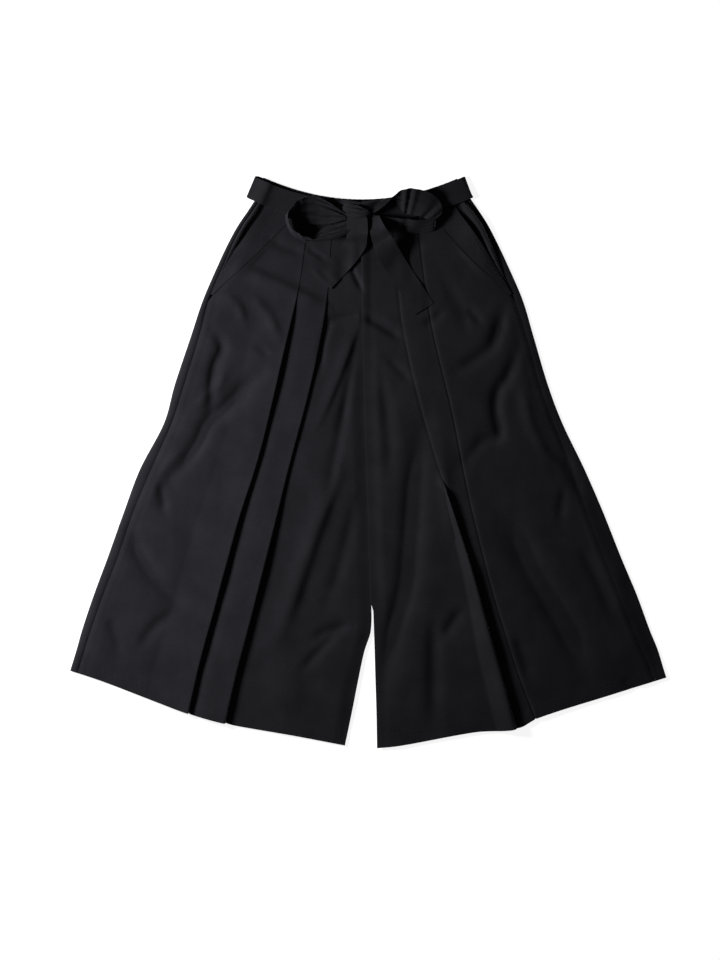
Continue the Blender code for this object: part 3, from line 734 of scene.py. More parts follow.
@dataclass(frozen=True)
class Shell:
    """A thin wall of cloth round rows of points on its middle surface."""

    name: str
    points: Array
    finish: Material
    thick: float = 0.9
    # How much painted highlight each point's colour gets
    pressed: Optional[Array] = None
    ring: bool = False
    smooth_below: float = 60.0

    def faces(self) -> Array:
        """The quads of the rows.

        Returns:
            Four point numbers for each, with the last column joined to the first on a ring.
        """
        rows, columns = self.points.shape[:2]
        spans = columns if self.ring else columns - 1
        row, column = np.meshgrid(np.arange(rows - 1), np.arange(spans), indexing="ij")
        after = (column + 1) % columns
        start = row * columns
        below = start + columns
        return stacked(start + column, below + column, below + after, start + after).reshape(-1, 4)

    def cloth_map(self) -> Array:
        """How far each point lies along the cloth, across and down, in metres.

        Returns:
            A pair for each point.
        """
        firsts = ((1, self.points[:, :1]), (0, self.points[:1]))
        gaps = [np.linalg.norm(np.diff(self.points, axis=k, prepend=first), axis=2) for k, first in firsts]
        return stacked(np.cumsum(gaps[0], axis=1), np.cumsum(gaps[1], axis=0)).reshape(-1, 2) * MM

    def area(self) -> float:
        """The cloth's area, in square metres.

        Returns:
            The area of one side of it.
        """
        quads = self.points.reshape(-1, 3)[self.faces()]
        sides = [quads[:, k] - quads[:, 0] for k in (1, 2, 3)]
        halves = [np.linalg.norm(np.cross(*pair), axis=1) for pair in (sides[:2], sides[1:])]
        return float((halves[0] + halves[1]).sum() / 2 * MM * MM)

    def build(self) -> Object:
        """Make the piece.

        Returns:
            The piece, a closed wall with its cloth map and its painted highlight attribute.
        """
        mesh = bpy.data.meshes.new(self.name)
        mesh.from_pydata((self.points.reshape(-1, 3) * MM).tolist(), [], self.faces().tolist())
        corners = np.empty(len(mesh.loops), np.int32)
        mesh.loops.foreach_get("vertex_index", corners)
        cloth = self.cloth_map()
        mesh.uv_layers.new(name="cloth").data.foreach_set("uv", cloth[corners].astype(np.float32).ravel())
        # The painted highlight's share at each point, kept as an attribute for the cloth's material
        pressed = np.zeros(len(mesh.vertices)) if self.pressed is None else self.pressed.ravel()
        marks = mesh.attributes.new("pressed", "FLOAT", "POINT")
        marks.data.foreach_set("value", pressed.astype(np.float32))
        mesh.update()
        mesh.materials.append(self.finish)
        piece = place_object(self.name, mesh)
        select_only(piece)
        wall = piece.modifiers.new("cloth wall", "SOLIDIFY")
        wall.thickness = self.thick * MM
        wall.offset = 0.0
        bpy.ops.object.modifier_apply(modifier=wall.name)
        bpy.ops.object.shade_smooth_by_angle(angle=math.radians(self.smooth_below))
        LOG.info(
            "%s: %d x %d points, %d faces, %.4f m2 of cloth, %.3f by %.3f m", self.name,
            *self.points.shape[:2], len(piece.data.polygons), self.area(), *cloth.max(axis=0),
        )
        return piece


def lay(shell: Shell, node: str) -> Shell:
    """Args:
        shell: the cloth.
        node: the part of model.glb that is hidden in its place.

    Returns:
        The shell.
    """
    piece = shell.build()
    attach(piece, "root")
    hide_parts(node)
    return shell


class Ground:
    """The top of the pieces built so far, felt from above."""

    above = 200.0

    def __init__(self, shells: Sequence[Shell]) -> None:
        """Gather the cloth that others lie on.

        Args:
            shells: the cloth.
        """
        points: list = []
        faces: list = []
        for shell in shells:
            faces += (shell.faces() + len(points)).tolist()
            points += shell.points.reshape(-1, 3).tolist()
        self.tree = BVHTree.FromPolygons(points, faces)

    def top(self, x: float, y: float) -> float:
        """The highest cloth at a place, or 0 where there is none."""
        hit = self.tree.ray_cast(Vector((x, y, self.above)), Vector((0, 0, -1)))[0]
        return hit.z if hit is not None else 0.0

    def clear(self, x: float, y: float, reach: float) -> float:
        """The highest cloth within reach of a place.

        Args:
            x: the place along X.
            y: the place along Y.
            reach: how far round it to feel.

        Returns:
            The height.
        """
        turns = [k * math.pi / 4 for k in range(8)]
        round_it = [self.top(x + reach * math.cos(turn), y + reach * math.sin(turn)) for turn in turns]
        return max(self.top(x, y), *round_it)


@dataclass
class LegCut:
    """One leg's cut and the way it lies: its side fold, seams, pocket, pleats and hem."""

    side: Side
    sections: tuple[Section, ...]
    hem_places: tuple[HemPlace, ...]
    neighbour: Optional["LegCut"] = None
    # The large folds, and how far from each edge they reach their height
    loft: float = 4.5
    lowest: float = -1.0
    depth: float = 1.95
    side_fade: float = 38.0
    fine_side_fade: float = 14.0
    inseam_fade: float = 24.0
    inseam_loft: float = 0.35
    waist_fade: float = 90.0
    fine_waist_fade: float = 30.0
    hem_fade: float = 70.0
    hem_loft: float = 0.5
    # The turned hem, its pucker and the side seam's puff
    hem_turn: float = 18.0
    hem_edge: float = 3.0
    hem_thick: float = 0.45
    hem_pucker: float = 0.15
    pucker_wide: float = 7.0
    pucker_rate: float = 0.66
    pucker_wander: float = 2.1
    seam_puff: float = 0.6
    seam_puff_place: float = 7.0
    seam_puff_wide: float = 5.0
    puff_above: float = 60.0
    puff_fade: float = 40.0
    # The fine unevenness, slow and quick
    slow_height: float = 0.9
    quick_height: float = 0.3
    # How far the right leg laps over the left, and where the legs part
    lap: float = 2.2
    lap_end: float = -243.0
    lap_fade: float = 22.0
    fold_ease: float = 30.0

    def __post_init__(self) -> None:
        """Make the curves and the unevenness."""
        self.curves = curves_of(self.sections)
        self.hem = curves_of(self.hem_places)["y"]
        self.slow = Unevenness(11, 46.0, 150.0)
        self.quick = Unevenness(29, 17.0, 42.0)

    @property
    def sign(self) -> int:
        """-1 on the left and 1 on the right."""
        return self.side.value

    def out(self, name: str, y: Array) -> Array:
        """How far out a line of the leg lies."""
        return self.sign * self.curves[name](y)

    def fold(self, name: str, y: Array) -> Array:
        """How far out a pleat's fold edge lies, drawn straighter than its table."""
        near = self.fold_ease
        return (self.out(name, y - near) + self.out(name, y) + self.out(name, y + near)) / 3

    def front_edge(self, y: Array) -> Array:
        """How far out the front panel reaches: to the pocket facing, and below it to the seam."""
        return np.minimum(self.out("front", y), self.out("seam", y))

    def reach(self, y: Array, lap: float) -> Array:
        """How much further in than its own edge the cloth goes, to meet its neighbour.

        Args:
            y: places along the leg.
            lap: how far it goes past the neighbour's edge.

        Returns:
            The distances, nothing where there is no neighbour or the legs have parted.
        """
        if self.neighbour is None:
            return np.zeros_like(y)
        gap = self.curves["inner"](y) - self.neighbour.curves["inner"](y)
        return (gap + lap) * smooth((y - self.lap_end) / self.lap_fade)

    def relief(self, x: Array, y: Array) -> Array:
        """How far the cloth stands off its flat level.

        Args:
            x: places along X.
            y: places along Y.

        Returns:
            The heights, with folds, unevenness and the turned hem.
        """
        from_side = self.sign * (self.curves["edge"](y) - x)
        from_waist = waist_seam(x) - y
        above_hem = y - self.hem(x)
        inward = smooth(self.sign * (x - self.curves["inner"](y)) / self.inseam_fade)
        fade = smooth(from_side / self.side_fade) * smooth(from_waist / self.waist_fade)
        fade = fade * mix(1.0, mix(self.inseam_loft, 1.0, inward), smooth((CROTCH - y) / self.waist_fade))
        fade = fade * mix(self.hem_loft, 1.0, smooth(above_hem / self.hem_fade))
        large = np.maximum(self.loft + self.depth * folds_at(FOLDS, x, y), self.lowest) * fade
        quick = self.quick(x, y)
        fine = self.depth * folds_at(CREASES, x, y) + self.slow_height * self.slow(x, y)
        fine = fine + self.quick_height * quick
        fine = fine * smooth(from_side / self.fine_side_fade) * smooth(from_waist / self.fine_waist_fade)
        from_seam = self.sign * (self.curves["seam"](y) - x)
        puff = self.seam_puff * bell(from_seam - self.seam_puff_place, self.seam_puff_wide)
        fine = fine + puff * smooth((CROTCH + self.puff_above - y) / self.puff_fade)
        turned = self.hem_thick * smooth((self.hem_turn + self.hem_edge / 2 - above_hem) / self.hem_edge)
        pucker = self.hem_pucker * np.sin(x * self.pucker_rate + self.pucker_wander * quick)
        pucker = pucker * bell(above_hem - self.hem_turn, self.pucker_wide)
        return np.maximum(large + fine, self.lowest / 2) + turned + pucker


def between(nodes: Array, splits: Sequence[int], rounds: int) -> Array:
    """Split a section's straight runs and round its corners.

    Args:
        nodes: the section's corners, as (corner, place, value).
        splits: how many columns each run gets.
        rounds: how often the corners are eased.

    Returns:
        The finer section, its first and last corners kept.
    """
    parts = []
    for k, split in enumerate(splits):
        share = (0.5 - 0.5 * np.cos(np.pi * np.arange(split) / split))[:, None, None]
        parts.append(nodes[k] * (1 - share) + nodes[k + 1] * share)
    fine = np.concatenate([*parts, nodes[-1:]])
    for _ in range(rounds):
        fine[1:-1] = 0.25 * fine[:-2] + 0.5 * fine[1:-1] + 0.25 * fine[2:]
    return fine


@dataclass
class LegPanel:
    """A panel of a leg. Each kind says how its section runs and how high its cloth lies."""

    cut: LegCut
    finish: Material
    rows: int = 190

    def path(self, y: Array) -> Array:
        """The panel's section at places along the leg, as (column, place, value)."""
        raise NotImplementedError

    def height(self, x: Array, y: Array, level: Array) -> Array:
        """The height of its cloth's middle surface."""
        raise NotImplementedError

    def shell(self, name: str) -> Shell:
        """Lay the panel out from the waist seam down to the hem.

        Args:
            name: the piece's name, less its side.

        Returns:
            The panel.
        """
        cut = self.cut
        count = len(self.path(np.zeros(1)))
        each = np.arange(count)
        top = np.full(count, WAIST_SEAM_LOW)
        hem = np.full(count, LEG_END)
        for _ in range(CURVE_STEPS):
            top = waist_seam(cut.sign * self.path(top)[each, each, 0]) + WAIST_LAP
            low = self.path(hem)[each, each]
            hem = cut.hem(cut.sign * low[:, 0]) + UNDER_HEM * low[:, 2]
        down = np.linspace(0, 1, self.rows + 1)[:, None]
        near_waist = smooth(1 - down / LEVEL_FROM)
        near_hem = smooth((down - LEVEL_TO) / (1 - LEVEL_TO))
        y = mix(LEG_TOP, LEG_END, down) + (top - LEG_TOP) * near_waist + (hem - LEG_END) * near_hem
        laid = np.stack([self.path(y[:, k])[k] for k in range(count)], axis=1)
        x = cut.sign * laid[..., 0]
        points = stacked(x, y, self.height(x, y, laid[..., 1]))
        return Shell(name + cut.side.word, points, self.finish, pressed=laid[..., 3])


@dataclass
class FrontLeg(LegPanel):
    """A front leg with its two knife pleats."""

    rises: tuple[FoldRise, ...] = LEFT_RISES
    panel_columns: int = 46
    centre_columns: int = 46
    strip_columns: int = 4
    pleat_splits: tuple[int, ...] = (5, 5, 7, 4, 4, 6, 2, 2, 6, 5)
    # The pleats are stitched down to here, and above it they keep this share of their height
    stitched_to: float = 286.0
    stitched_flat: float = 0.4
    loose_in: float = 60.0
    outer_stack: float = 1.0
    inner_stack: float = 1.0
    stack_from: float = 40.0
    stack_fade: float = 90.0
    # How strongly a pleat's fold edge is lightened by the painted highlight
    edge_highlight: float = 0.4
    # A groove along a fold edge: its depth, and its width on the side of the seam and of the middle
    groove: float = 0.0
    groove_far: float = 3.0
    groove_near: float = 1.3
    groove_in: float = 1.0
    # How a pleat runs out into the cloth beside it, and how deep it must turn to count as folded
    slope: float = 12.0
    level_room: float = 50.0
    ramp: float = 34.0
    turn_over: float = 2.0
    turn_full: float = 4.0
    wander: float = 0.35
    # The raised seam between the legs, on the right one
    seam_wide: float = 17.0
    seam_slope: float = 15.0
    seam_rise: tuple[float, float] = (0.55, 1.3)
    gap_under: float = 1.2
    tucked_share: float = 0.75
    fold_levels: float = 1.8

    def rise(self, name: str, y: Array) -> Array:
        """How far a pleat's fold edge rolls up.

        Args:
            name: which pleat, by its column.
            y: places along the leg.

        Returns:
            The heights, never quite even.
        """
        height = np.maximum(curves_of(self.rises)[name](y), 0)
        return height * (1 + 0.09 * np.sin(y / 47.0 + self.cut.sign) + 0.05 * np.sin(y / 17.0))

    def pleat(self, fold: Array, deep: Array, rise: Array, after: float) -> Array:
        """A pleat's corners.

        Args:
            fold: how far out the fold edge lies.
            deep: how far the pleat turns back, below zero where it lies the other way.
            rise: how far the fold edge rolls up.
            after: how far past the fold edge the pleat's own columns end.

        Returns:
            Place, level, share of the under hem and painted highlight at each of eleven corners.
        """
        turned = np.clip(deep / self.turn_over, -1, 1)
        under = np.abs(deep)
        tucked = self.tucked_share * under
        whole = under + self.ramp
        lifted = self.fold_levels + rise / LAYER
        turn = 0.3 + lifted / 2
        opened = np.clip((under - self.turn_over) / (self.turn_full - self.turn_over), 0, 1)
        # Eleven places and levels each: where the pleat is flat still, where it is folded out over
        # itself, and where it lies back the other way. The last two also give the share of the
        # under hem and the strength of the painted highlight.
        bends = (0.7, 0.9, 1, 0.7, 0.2, -0.2, -0.7, -1, -1)
        flat = zip(
            (self.ramp, 6, 3, 1, 0.3, 0.1, -0.1, -0.3, -1, -3, -after),
            (0, *(0.8 + 0.8 * bend * turned for bend in bends), 0),
        )
        gap = self.gap_under
        shares = (0, 0, 0, 0, 0.5, 1, 1, 1, 1, 0.5, 0)
        # The painted highlight is strongest where the fold edge turns
        marks = (0, 0, 0, 0.6 * self.edge_highlight, self.edge_highlight, 0, 0, 0, 0, 0, 0)
        slack = np.maximum(lifted * (self.ramp - 2) / whole, 0.9)
        folded = zip(
            (whole, under + 2, 0.45 * under, 0.8, 0, 0.8, under - 1, under, under - 1, gap, -after),
            (0, slack, lifted * (1 - 0.4 * under / whole), lifted, turn, 0.6, 0.45, 0.25, 0, 0, 0),
            shares, marks,
        )
        tail = (-0.42 * under, -0.8 * under, -0.88 * under)
        back = zip(
            (self.slope, -gap, 1 - tucked, -tucked, 1 - tucked, -gap, 0, -gap, *tail),
            (0, 0, 0, 0.2, 0.35, 0.5, turn, lifted, 0.53 * lifted, 0.09 * lifted, 0),
            shares[::-1], marks[::-1],
        )
        corners = []
        for (flat_place, flat_level), laid_back, laid_over in zip(flat, back, folded):
            pairs = zip(laid_back, laid_over)
            place, level, share, mark = (np.where(deep < 0, *pair) for pair in pairs)
            place = fold + mix(flat_place, place, opened)
            corners.append(stacked(place, mix(flat_level, level, opened), share, mark * opened))
        return np.stack(corners)

    def path(self, y: Array) -> Array:
        """The panel's section from its outer edge to its inner one.

        Args:
            y: places along the leg.

        Returns:
            Place, level, share of the under hem and painted highlight, for each column at each place.
        """
        cut = self.cut
        wander = self.wander * np.sin(y / 43.0) * smooth((self.stitched_to - y) / 150)
        fold_1 = cut.fold("fold_1", y) + wander
        fold_2 = cut.fold("fold_2", y) - wander
        outer = self.pleat(fold_1, cut.curves["deep_1"](y), self.rise("outer", y), 4.0)
        inner = self.pleat(fold_2, cut.curves["deep_2"](y), self.rise("inner", y), self.slope)
        loose = mix(self.stitched_flat, 1.0, smooth((self.stitched_to - y) / self.loose_in))
        outer[:, :, 1] *= loose * self.outer_stack
        inner[:, :, 1] *= loose * mix(self.inner_stack, 1.0, smooth((self.stack_from - y) / self.stack_fade))
        inner[0, :, 0] = np.minimum(inner[0, :, 0], np.maximum(fold_1 - 6, inner[1, :, 0] + 1))
        lift = cut.curves["lift"](y)
        start = cut.front_edge(y) + mix(SEAM_LAP, -0.2, lift)
        room = start - outer[1, :, 0]
        ease = lift * smooth((self.level_room - room) / self.slope)
        outer[0, :, 0] = np.minimum(outer[0, :, 0], start - room / 2)
        outer[0, :, 1] = ease
        for corner, share in ((1, 0.85), (2, 0.7)):
            outer[corner, :, 1] = np.maximum(outer[corner, :, 1], share * ease)
        inward = np.arange(self.panel_columns)[:, None] / self.panel_columns
        side = stacked(mix(start, outer[0, :, 0], inward), mix(lift, ease, smooth(2 * inward)), 0, 0)
        first = between(outer, self.pleat_splits, 2)
        second = between(inner, self.pleat_splits, 2)
        strip = [mix(first[-1], second[0], k / self.strip_columns) for k in range(1, self.strip_columns)]
        end = cut.out("inner", y) - cut.reach(y, cut.lap)
        over = 0.0 if cut.side is Side.LEFT else mix(*self.seam_rise, smooth((y - CROTCH) / 30))
        steps = range(1, self.centre_columns + 1)
        inward = np.array([1 - (1 - k / self.centre_columns) ** 1.5 for k in steps])[:, None]
        place = mix(second[-1, :, 0], end, inward)
        level = over * smooth((end + self.seam_wide - place) / self.seam_slope)
        # A painted highlight along the lip of the raised seam between the legs
        mark = 0.5 * np.minimum(level, 1) * smooth((end + 3 - place) / 2)
        return np.concatenate([side, first, np.stack(strip), second, stacked(place, level, 0, mark)])

    def height(self, x: Array, y: Array, level: Array) -> Array:
        """Height of the cloth's middle surface, with a groove along each pleat's fold edge.

        Args:
            x: places along X.
            y: places along Y.
            level: how many layers up the cloth lies.

        Returns:
            The heights.
        """
        groove = 0.0
        for name, fade in (("fold_1", 1.0), ("fold_2", smooth((y + 70) / 60))):
            off = self.cut.sign * x - self.cut.fold(name, y) + self.groove_in
            groove = groove + fade * bell(off, np.where(off < 0, self.groove_near, self.groove_far))
        return FRONT_REST + level * LAYER + self.cut.relief(x, y) - self.groove * groove

    def dress(self) -> Shell:
        """Returns:
            The panel.
        """
        word = self.cut.side.word
        shell = self.shell("front_leg_cloth_")
        return lay(shell, "front_leg_" + word)


@dataclass
class BackLeg(LegPanel):
    """A back leg, flat on the surface and wrapped round the side fold to the side seam."""

    splits: tuple[int, ...] = (12, 5, 4, 6, 6)
    roll: float = 1.6
    edge_short: float = 0.45
    inner_short: float = 1.0
    lap: float = 1.6
    strip_swell: float = 2.2

    def path(self, y: Array) -> Array:
        """The panel's section from its inner edge to the side fold and back to the seam.

        Args:
            y: places along the leg.

        Returns:
            Place, level, share of the under hem and painted highlight, as on the front.
        """
        cut = self.cut
        inner = cut.out("inner", y) + self.inner_short - cut.reach(y, self.lap)
        edge = cut.out("edge", y) - self.edge_short
        seam = cut.out("seam", y) + SEAM_GAP / 2
        turn = edge - self.roll
        half_way = mix(turn, seam, 0.5)
        corners = ((inner, 0, 1), (turn, 0, 1), (edge, 0.5, 0), (turn, 1, 0), (half_way, 1, 0), (seam, 1, 0))
        return between(np.stack([stacked(*corner, 0) for corner in corners]), self.splits, 1)

    def height(self, x: Array, y: Array, level: Array) -> Array:
        """Height of the middle surface: flat below, and level with the front where it wraps.

        Args:
            x: places along X.
            y: places along Y.
            level: how many layers up the cloth lies.

        Returns:
            The heights.
        """
        from_seam = self.cut.sign * (x - self.cut.curves["seam"](y))
        wide = np.maximum(self.cut.out("edge", y) - self.cut.out("seam", y), 1.0)
        swell = self.strip_swell * np.sin(np.pi * np.clip(from_seam / wide, 0, 1)) ** 0.6
        return REST + level * (LAYER + self.cut.relief(x, y) + swell)

    def dress(self) -> Shell:
        """Returns:
            The panel.
        """
        node = "back_leg_" + self.cut.side.word
        return lay(self.shell("back_leg_cloth_"), node)


@dataclass
class Pocket:
    """A slant pocket: the hip panel behind it and the facing along its mouth."""

    cut: LegCut
    finish: Material
    rows: int = 44
    facing_columns: int = 14
    panel_columns: int = 12
    facing_end: float = 272.0
    panel_end: float = 284.0
    mouth_lift: float = 5.5
    seam_sink: float = 0.0
    panel_bulge: float = 8.5
    open_share: float = 0.66
    panel_under: float = 14.0
    panel_clear: float = 4.0

    def facing_place(self, y: Array, inward: Array) -> Array:
        """How far out the facing's cloth lies, from the mouth to the front panel's edge."""
        outer = np.minimum(self.cut.out("mouth", y), self.cut.out("seam", y) - SEAM_GAP / 2)
        return mix(outer, self.cut.front_edge(y) + 2 * FACING_GAP, inward)

    def panel_place(self, y: Array, inward: Array) -> Array:
        """How far out the hip panel's cloth lies, from the side seam to under the facing.

        Args:
            y: places along the leg.
            inward: the share of the way inward.

        Returns:
            The distances.
        """
        cut = self.cut
        outer = cut.out("seam", y) - SEAM_GAP / 2
        under = np.maximum(cut.out("mouth", y) - self.panel_under, cut.front_edge(y) + self.panel_clear)
        return mix(outer, np.minimum(under, outer - self.panel_clear), inward)

    def laid(self, columns: int, end: float, place_at: Callable[[Array, Array], Array]) -> Sequence[Array]:
        """Lay a piece out from the waist seam down.

        Args:
            columns: how many columns of faces it has.
            end: where it ends along the leg.
            place_at: how far out its cloth lies.

        Returns:
            The share of the way down, the share of the way inward, and the places along X and Y.
        """
        share, inward = lattice((0, 1, self.rows + 1), (0, 1, columns + 1))
        y = np.full(share.shape, WAIST_SEAM_LOW)
        for _ in range(CURVE_STEPS):
            x = self.cut.sign * place_at(y, inward)
            y = mix(waist_seam(x) + WAIST_LAP, end, share)
        return share, inward, x, y

    def facing(self) -> Shell:
        """The facing sewn along the pocket's mouth, which stands open a little.

        Returns:
            Its shell.
        """
        share, inward, x, y = self.laid(self.facing_columns, self.facing_end, self.facing_place)
        lift = self.mouth_lift * np.sin(np.pi * smooth(share / self.open_share)) * (1 - inward) ** 2
        sunk = self.seam_sink * smooth(2 * inward - 1)
        z = FRONT_REST + LAYER + self.cut.relief(x, y) + lift - sunk
        return Shell("pocket_facing_cloth_" + self.cut.side.word, stacked(x, y, z), self.finish)

    def hip_panel(self) -> Shell:
        """The panel behind the pocket's mouth, from the side seam to under the facing.

        Returns:
            Its shell.
        """
        share, inward, x, y = self.laid(self.panel_columns, self.panel_end, self.panel_place)
        across = np.sin(np.pi * np.clip(inward * 2.6, 0, 1) ** 0.6)
        bulge = self.panel_bulge * np.sin(np.pi * share**0.55) * across
        z = FRONT_REST + self.cut.relief(x, y) * (1 - 0.7 * inward) + bulge
        return Shell("hip_panel_cloth_" + self.cut.side.word, stacked(x, y, z), self.finish)

    def dress(self) -> list[Shell]:
        """Returns:
            Their shells.
        """
        nodes = ("pocket_facing_", "hip_panel_", "back_leg_")
        facing, panel, leg = (node + self.cut.side.word for node in nodes)
        return [
            lay(self.facing(), facing),
            lay(self.hip_panel(), panel),
        ]


@dataclass
class Waist:
    """The two waistbands: a gathered casing of elastic behind, and a plain band in front."""

    finish: Material
    left: float = -0.985
    right: float = 0.96
    gathers: int = 36
    columns_each: int = 9
    gather_rise: float = 1.5
    gather_crinkle: float = 0.35
    gather_seed: int = 5
    gather_least: float = 0.15
    gather_most: float = 1.3
    front_start: float = 0.18
    front_short: float = 0.012
    front_ripple: float = 0.25

    def point(self, across: Array, down: Array) -> tuple[Array, Array]:
        """A place on the waist's ruled curve.

        Args:
            across: from -1 at the left end to 1 at the right.
            down: from 0 at the top edge to 1 at the seam.

        Returns:
            Places along X and Y.
        """
        top_x = WAIST_MIDDLE + WAIST_TOP_HALF * across
        top_y = WAIST_TOP_LOW + WAIST_TOP_RISE * across**2
        seam_x = WAIST_MIDDLE + WAIST_SEAM_HALF * across
        return mix(top_x, seam_x, down), mix(top_y, waist_seam(seam_x), down)

    def elastic_band(self) -> Shell:
        """The back band, gathered on its elastic, fuller at some gathers than at others.

        Returns:
            Its shell.
        """
        rng = np.random.default_rng(self.gather_seed)
        full = rng.uniform(self.gather_least, self.gather_most, self.gathers + 1)
        downs = np.concatenate([np.linspace(0, 0.3, 9), np.linspace(0.38, 1, 7)])
        count = np.linspace(0, self.gathers, self.gathers * self.columns_each + 1)
        down, place = np.meshgrid(downs, count, indexing="ij")
        lean = 0.5 * np.sin(place * 0.9) * down * 6
        wave = 0.5 - 0.5 * np.cos(2 * np.pi * (place + lean * 0.3))
        fullness = full[np.minimum(np.floor(place).astype(int), self.gathers)]
        x, y = self.point(mix(self.left, self.right, place / self.gathers), down)
        y = y - self.gather_crinkle * wave * fullness * smooth((0.1 - down) / 0.1)
        z = BACK_BAND_REST + self.gather_rise * wave * fullness * smooth((0.34 - down) / 0.3)
        return Shell("elastic_waistband_cloth", stacked(x, y, z), self.finish, thick=BAND_THICK)

    def plain_band(self) -> Shell:
        """The front band, smooth under the sash.

        Returns:
            Its shell.
        """
        ends = (self.left + self.front_short, self.right - self.front_short)
        down, across = lattice((self.front_start, 1, 10), (*ends, 120))
        x, y = self.point(across, down)
        z = FRONT_BAND_REST + self.front_ripple * np.sin(across * 70) * np.sin(np.pi * down)
        return Shell("plain_waistband_cloth", stacked(x, y, z), self.finish, thick=BAND_THICK)

    def dress(self) -> list[Shell]:
        """Returns:
            Their shells.
        """
        return [
            lay(self.elastic_band(), "waistband_back"),
            lay(self.plain_band(), "waistband_front"),
        ]


@dataclass
class Belt:
    """The sash's stretches round the waist."""

    finish: Material
    waist: Waist
    stations: int = 110
    columns: int = 18
    gather_reach: float = 36.0
    gather_height: float = 1.9
    gather_count: float = 3.4
    turn_depth: float = 1.5
    straight_from: int = 5
    shortest_run: float = 3.0
    unevenness: float = 0.35
    back_reach: float = 0.925

    def asides(self, places: tuple[BandPlace, ...]) -> list[Vector]:
        """Which way, and how far, the belt reaches aside from its middle line.

        Args:
            places: its stations.

        Returns:
            A vector for each. Where the belt turns round the hip it is that of the hip.
        """
        found = []
        for k, place in enumerate(places):
            ends = (places[max(k - 1, 0)], places[min(k + 1, len(places) - 1)])
            run = Vector((ends[1].x - ends[0].x, ends[1].y - ends[0].y))
            if run.length < self.shortest_run or place.z < BELT_REST - self.turn_depth:
                ends = places[self.straight_from : self.straight_from + 2]
                run = Vector((ends[0].x - ends[1].x, ends[0].y - ends[1].y))
            if run.x * (places[0].x - places[-1].x) < 0:
                run.negate()
            found.append(Vector((-run.y, run.x)).normalized() * place.wide / 2)
        return found

    def stretch(self, side: Side, places: tuple[BandPlace, ...]) -> Shell:
        """A stretch from the knot round a hip to the back.

        Args:
            side: which hip.
            places: its stations.

        Returns:
            Its shell.
        """
        rows = curves_of(places, counted=True)
        steps = range(len(places))
        aside_x, aside_y = (Curve(steps, column) for column in zip(*self.asides(places)))
        station, share = lattice((0, len(places) - 1, self.stations), (-1, 1, self.columns + 1))
        level = rows["z"](station)
        x = rows["x"](station) + aside_x(station) * share
        y = rows["y"](station) + aside_y(station) * share
        from_knot = np.abs(rows["x"](station) - places[0].x)
        gather = self.gather_height * bell(from_knot, self.gather_reach)
        ripple = np.cos(self.gather_count * np.pi * share + 0.02 * from_knot + side.value)
        on_top = smooth((level - BELT_REST + self.turn_depth) / self.turn_depth)
        soft = self.unevenness * Unevenness(43 + side.value, 22, 30)(x, y) * on_top
        z = level + gather * (1 + ripple) * on_top + soft
        return Shell("sash_belt_" + side.word, stacked(x, y, z), self.finish)

    def behind(self) -> Shell:
        """The hidden stretch, flat under the back waistband."""
        across, down = lattice((-self.back_reach, self.back_reach, 90), (0.06, 0.96, 8))
        return Shell("sash_belt_behind", stacked(*self.waist.point(across, down), REST), self.finish)

    def dress(self) -> list[Shell]:
        """Returns:
            The shells of the two that lie on top.
        """
        shells = []
        for side, places, length in ((Side.LEFT, BELT_LEFT, 0.19), (Side.RIGHT, BELT_RIGHT, 0.20)):
            shell = self.stretch(side, places)
            shells.append(lay(shell, "belt_" + side.word))
        lay(self.behind(), "belt_back")
        return shells


